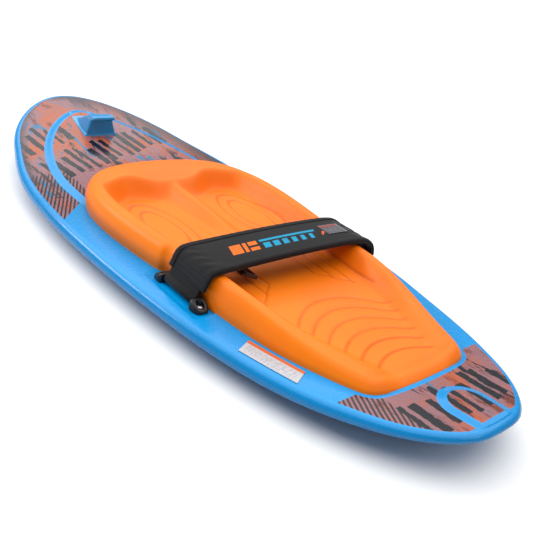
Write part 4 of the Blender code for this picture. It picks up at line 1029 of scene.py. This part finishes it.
# ---------------------------------------------------------------- brackets
def bracket(side, word, mat):
    """Footman loop: ramped lugs with oval screw pockets, joined by a round bar."""
    base = DECK - 0.003 + 0.0003
    parts = []
    for end in (-1, 1):
        verts = []
        lug = spline(((0.0385, 0.0148, 0.0118), (0.041, 0.0150, 0.0130), (0.045, 0.0140, 0.0137),
                      (0.052, 0.0108, 0.0133), (0.059, 0.0068, 0.0110), (0.0625, 0.0042, 0.0070)), 3)
        for along, height, wide in lug:
            y, x = STRAP_Y + end * along, side * BRACKET_X
            verts += [(x - wide, y, base), (x + wide, y, base), (x + wide - 0.0006, y, base + height - 0.003),
                      (x + wide - 0.003, y, base + height), (x - wide + 0.003, y, base + height),
                      (x - wide + 0.0006, y, base + height - 0.003)]
        parts.append(make("lug", verts, skin(len(lug), 6), None, None))
    bar = []
    for y in (-0.0405, 0.0405):
        bar += [(side * BRACKET_X + BAR_RADIUS * math.cos(a), STRAP_Y + y, BAR_Z + BAR_RADIUS * math.sin(a))
                for a in np.linspace(0, 2 * math.pi, 25)[:-1]]
    body = make("frame_" + word, bar, skin(2, 24), None, None)
    tools = [(p, 'UNION') for p in parts]
    for end in (-1, 1):
        y = STRAP_Y + end * 0.051
        for rx, ry, z0, z1 in ((0.0064, 0.0076, 0.0046, 0.03), (0.0029, 0.0029, -0.01, 0.02)):
            ring = []
            for z in (z0, z1):
                ring += [(side * BRACKET_X + rx * math.cos(a), y + ry * math.sin(a), base + z)
                         for a in np.linspace(0, 2 * math.pi, 33)[:-1]]
            tools.append((make("pocket", ring, skin(2, 32), None, None), 'DIFFERENCE'))
    for tool, operation in tools:
        mod = body.modifiers.new("cut", 'BOOLEAN')
        mod.operation, mod.solver, mod.object = operation, 'EXACT', tool
        bake_modifiers(body)
        bpy.data.objects.remove(tool, do_unlink=True)
    moulded(body, 0.00065, 3)
    body.data.materials.clear()
    body.data.materials.append(mat)
    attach(body, "board")
    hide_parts("bracket_" + word)
    return body


# ---------------------------------------------------------------- build
hull_skin()
hook_look()
hook_skin()
pad_skin()
nylon = nylon_look()
for side, word in ((-1, "port"), (1, "starboard")):
    bracket(side, word, nylon)
strap_cover()
bindings(cloth_look("binding_tape", linear(17, 17, 19), 900.0))
web = webbing_look()
path_centre, path_normal, path_thick, path_along = strap_path(2)
web_sleeve("port_web", (-BRACKET_X, BAR_Z), BAR_RADIUS + 0.0005, 0.0024,
           path_centre[0] - path_along[0] * 0.0004, 0.0024, WEB_HALF, cloth_look("flap_knit", linear(19, 19, 21), 700.0), "thigh_strap", "webbing_port")
web_sleeve("anchor_web", (BRACKET_X, BAR_Z), BAR_RADIUS + 0.0005, 0.0022, (0.1816, DECK + 0.0185), 0.0022,
           WEB_HALF, web, "board", "webbing_anchor")
under = [k for k in range(len(path_centre)) if path_centre[k][0] > -0.132][0]
web_sleeve("tab_web", RING_BAR, 0.0041, 0.0012,
           path_centre[under] - path_normal[under] * (path_thick[under] + 0.0017), 0.0012, 0.031, web,
           "thigh_strap", "ring_tab")
moulded_ring(nylon)
tether(web)

steel = metal_look("bright_steel", (0.62, 0.62, 0.64), 0.22)
brass = metal_look("turned_brass", (0.72, 0.52, 0.24), 0.3)
CARRIED = {"foam_core": foam_look(), "tail_plug": rubber_look("plug_plastic", linear(16, 16, 17), 0.45),
           "plug_seal": rubber_look("seal_rubber_look", linear(20, 20, 20), 0.8), "deck_label": label_look(),
           "hook_tape": tape_look("hook_tape_look", 700.0), "loop_tape": tape_look("loop_tape_look", 420.0),
           "strap_foam": rubber_look("strip_foam", linear(70, 70, 72), 0.95), "strap_patch": patch_look()}
CARRIED.update({"screw_%d" % k: steel for k in range(1, 5)})
CARRIED.update({"insert_%d" % k: brass for k in range(1, 5)})
for node, mat in CARRIED.items():
    mesh = bpy.data.objects[node].data
    mesh.materials.clear()
    mesh.materials.append(mat)


# ---------------------------------------------------------------- studio
def studio():
    floor = bpy.data.meshes.new("floor")
    size = 25.0
    floor.from_pydata([(-size, -size, 0), (size, -size, 0), (size, size, 0), (-size, size, 0)], [], [(0, 1, 2, 3)])
    stage = bpy.data.objects.new("studio_floor", floor)
    bpy.context.scene.collection.objects.link(stage)
    s = Look("floor_paper", 0.9)
    s.colour(s.mix(s.remap(s.noise(3, 2, 0.5), 0.3, 0.7), (0.90, 0.90, 0.90), (0.93, 0.93, 0.93)))
    floor.materials.append(s.mat)
    world = bpy.data.worlds.new("studio")
    bpy.context.scene.world = world
    world.use_nodes = True
    world.node_tree.nodes["Background"].inputs[0].default_value = (1.0, 1.0, 1.0, 1.0)
    world.node_tree.nodes["Background"].inputs[1].default_value = 0.30
    bpy.context.scene.view_settings.view_transform = 'Standard'
    for name, place, aim, power, width, depth in (
            ("key", (-1.5, 1.7, 1.4), (0, 0, 0), 26, 1.5, 0.4),
            ("fill", (0.6, -2.2, 1.6), (0, -0.2, 0), 4, 1.2, 0.5)):
        light = bpy.data.lights.new(name, 'AREA')
        light.energy, light.shape, light.size, light.size_y = power, 'RECTANGLE', width, depth
        lamp = bpy.data.objects.new(name, light)
        lamp.location = place
        lamp.rotation_euler = (Vector(aim) - Vector(place)).to_track_quat('-Z', 'Y').to_euler()
        bpy.context.scene.collection.objects.link(lamp)
    sky = bpy.data.lights.new("sky", 'SUN')
    sky.energy, sky.angle = 3.1, math.radians(95)
    lamp = bpy.data.objects.new("sky", sky)
    lamp.rotation_euler = (math.radians(-12), math.radians(8), 0)
    bpy.context.scene.collection.objects.link(lamp)


def camera():
    azimuth, elevation, roll = (math.radians(a) for a in (-45.61, 27.03, 12.20))
    target = Vector((-0.0081, -0.1768, 0.03 + BELLY_DEPTH))
    back = Vector((math.sin(azimuth) * math.cos(elevation), -math.cos(azimuth) * math.cos(elevation),
                   math.sin(elevation)))
    right = (-back).cross(Vector((0, 0, 1))).normalized()
    up = right.cross(-back)
    rolled_right = right * math.cos(roll) + up * math.sin(roll)
    rolled_up = up * math.cos(roll) - right * math.sin(roll)
    data = bpy.data.cameras.new("camera")
    data.lens, data.sensor_width = 45.32, 36.0
    cam = bpy.data.objects.new("camera", data)
    cam.matrix_world = Matrix.Translation(target + back * 1.1448) @ Matrix(
        (rolled_right, rolled_up, back)).transposed().to_4x4()
    bpy.context.scene.collection.objects.link(cam)
    bpy.context.scene.camera = cam


studio()
camera()
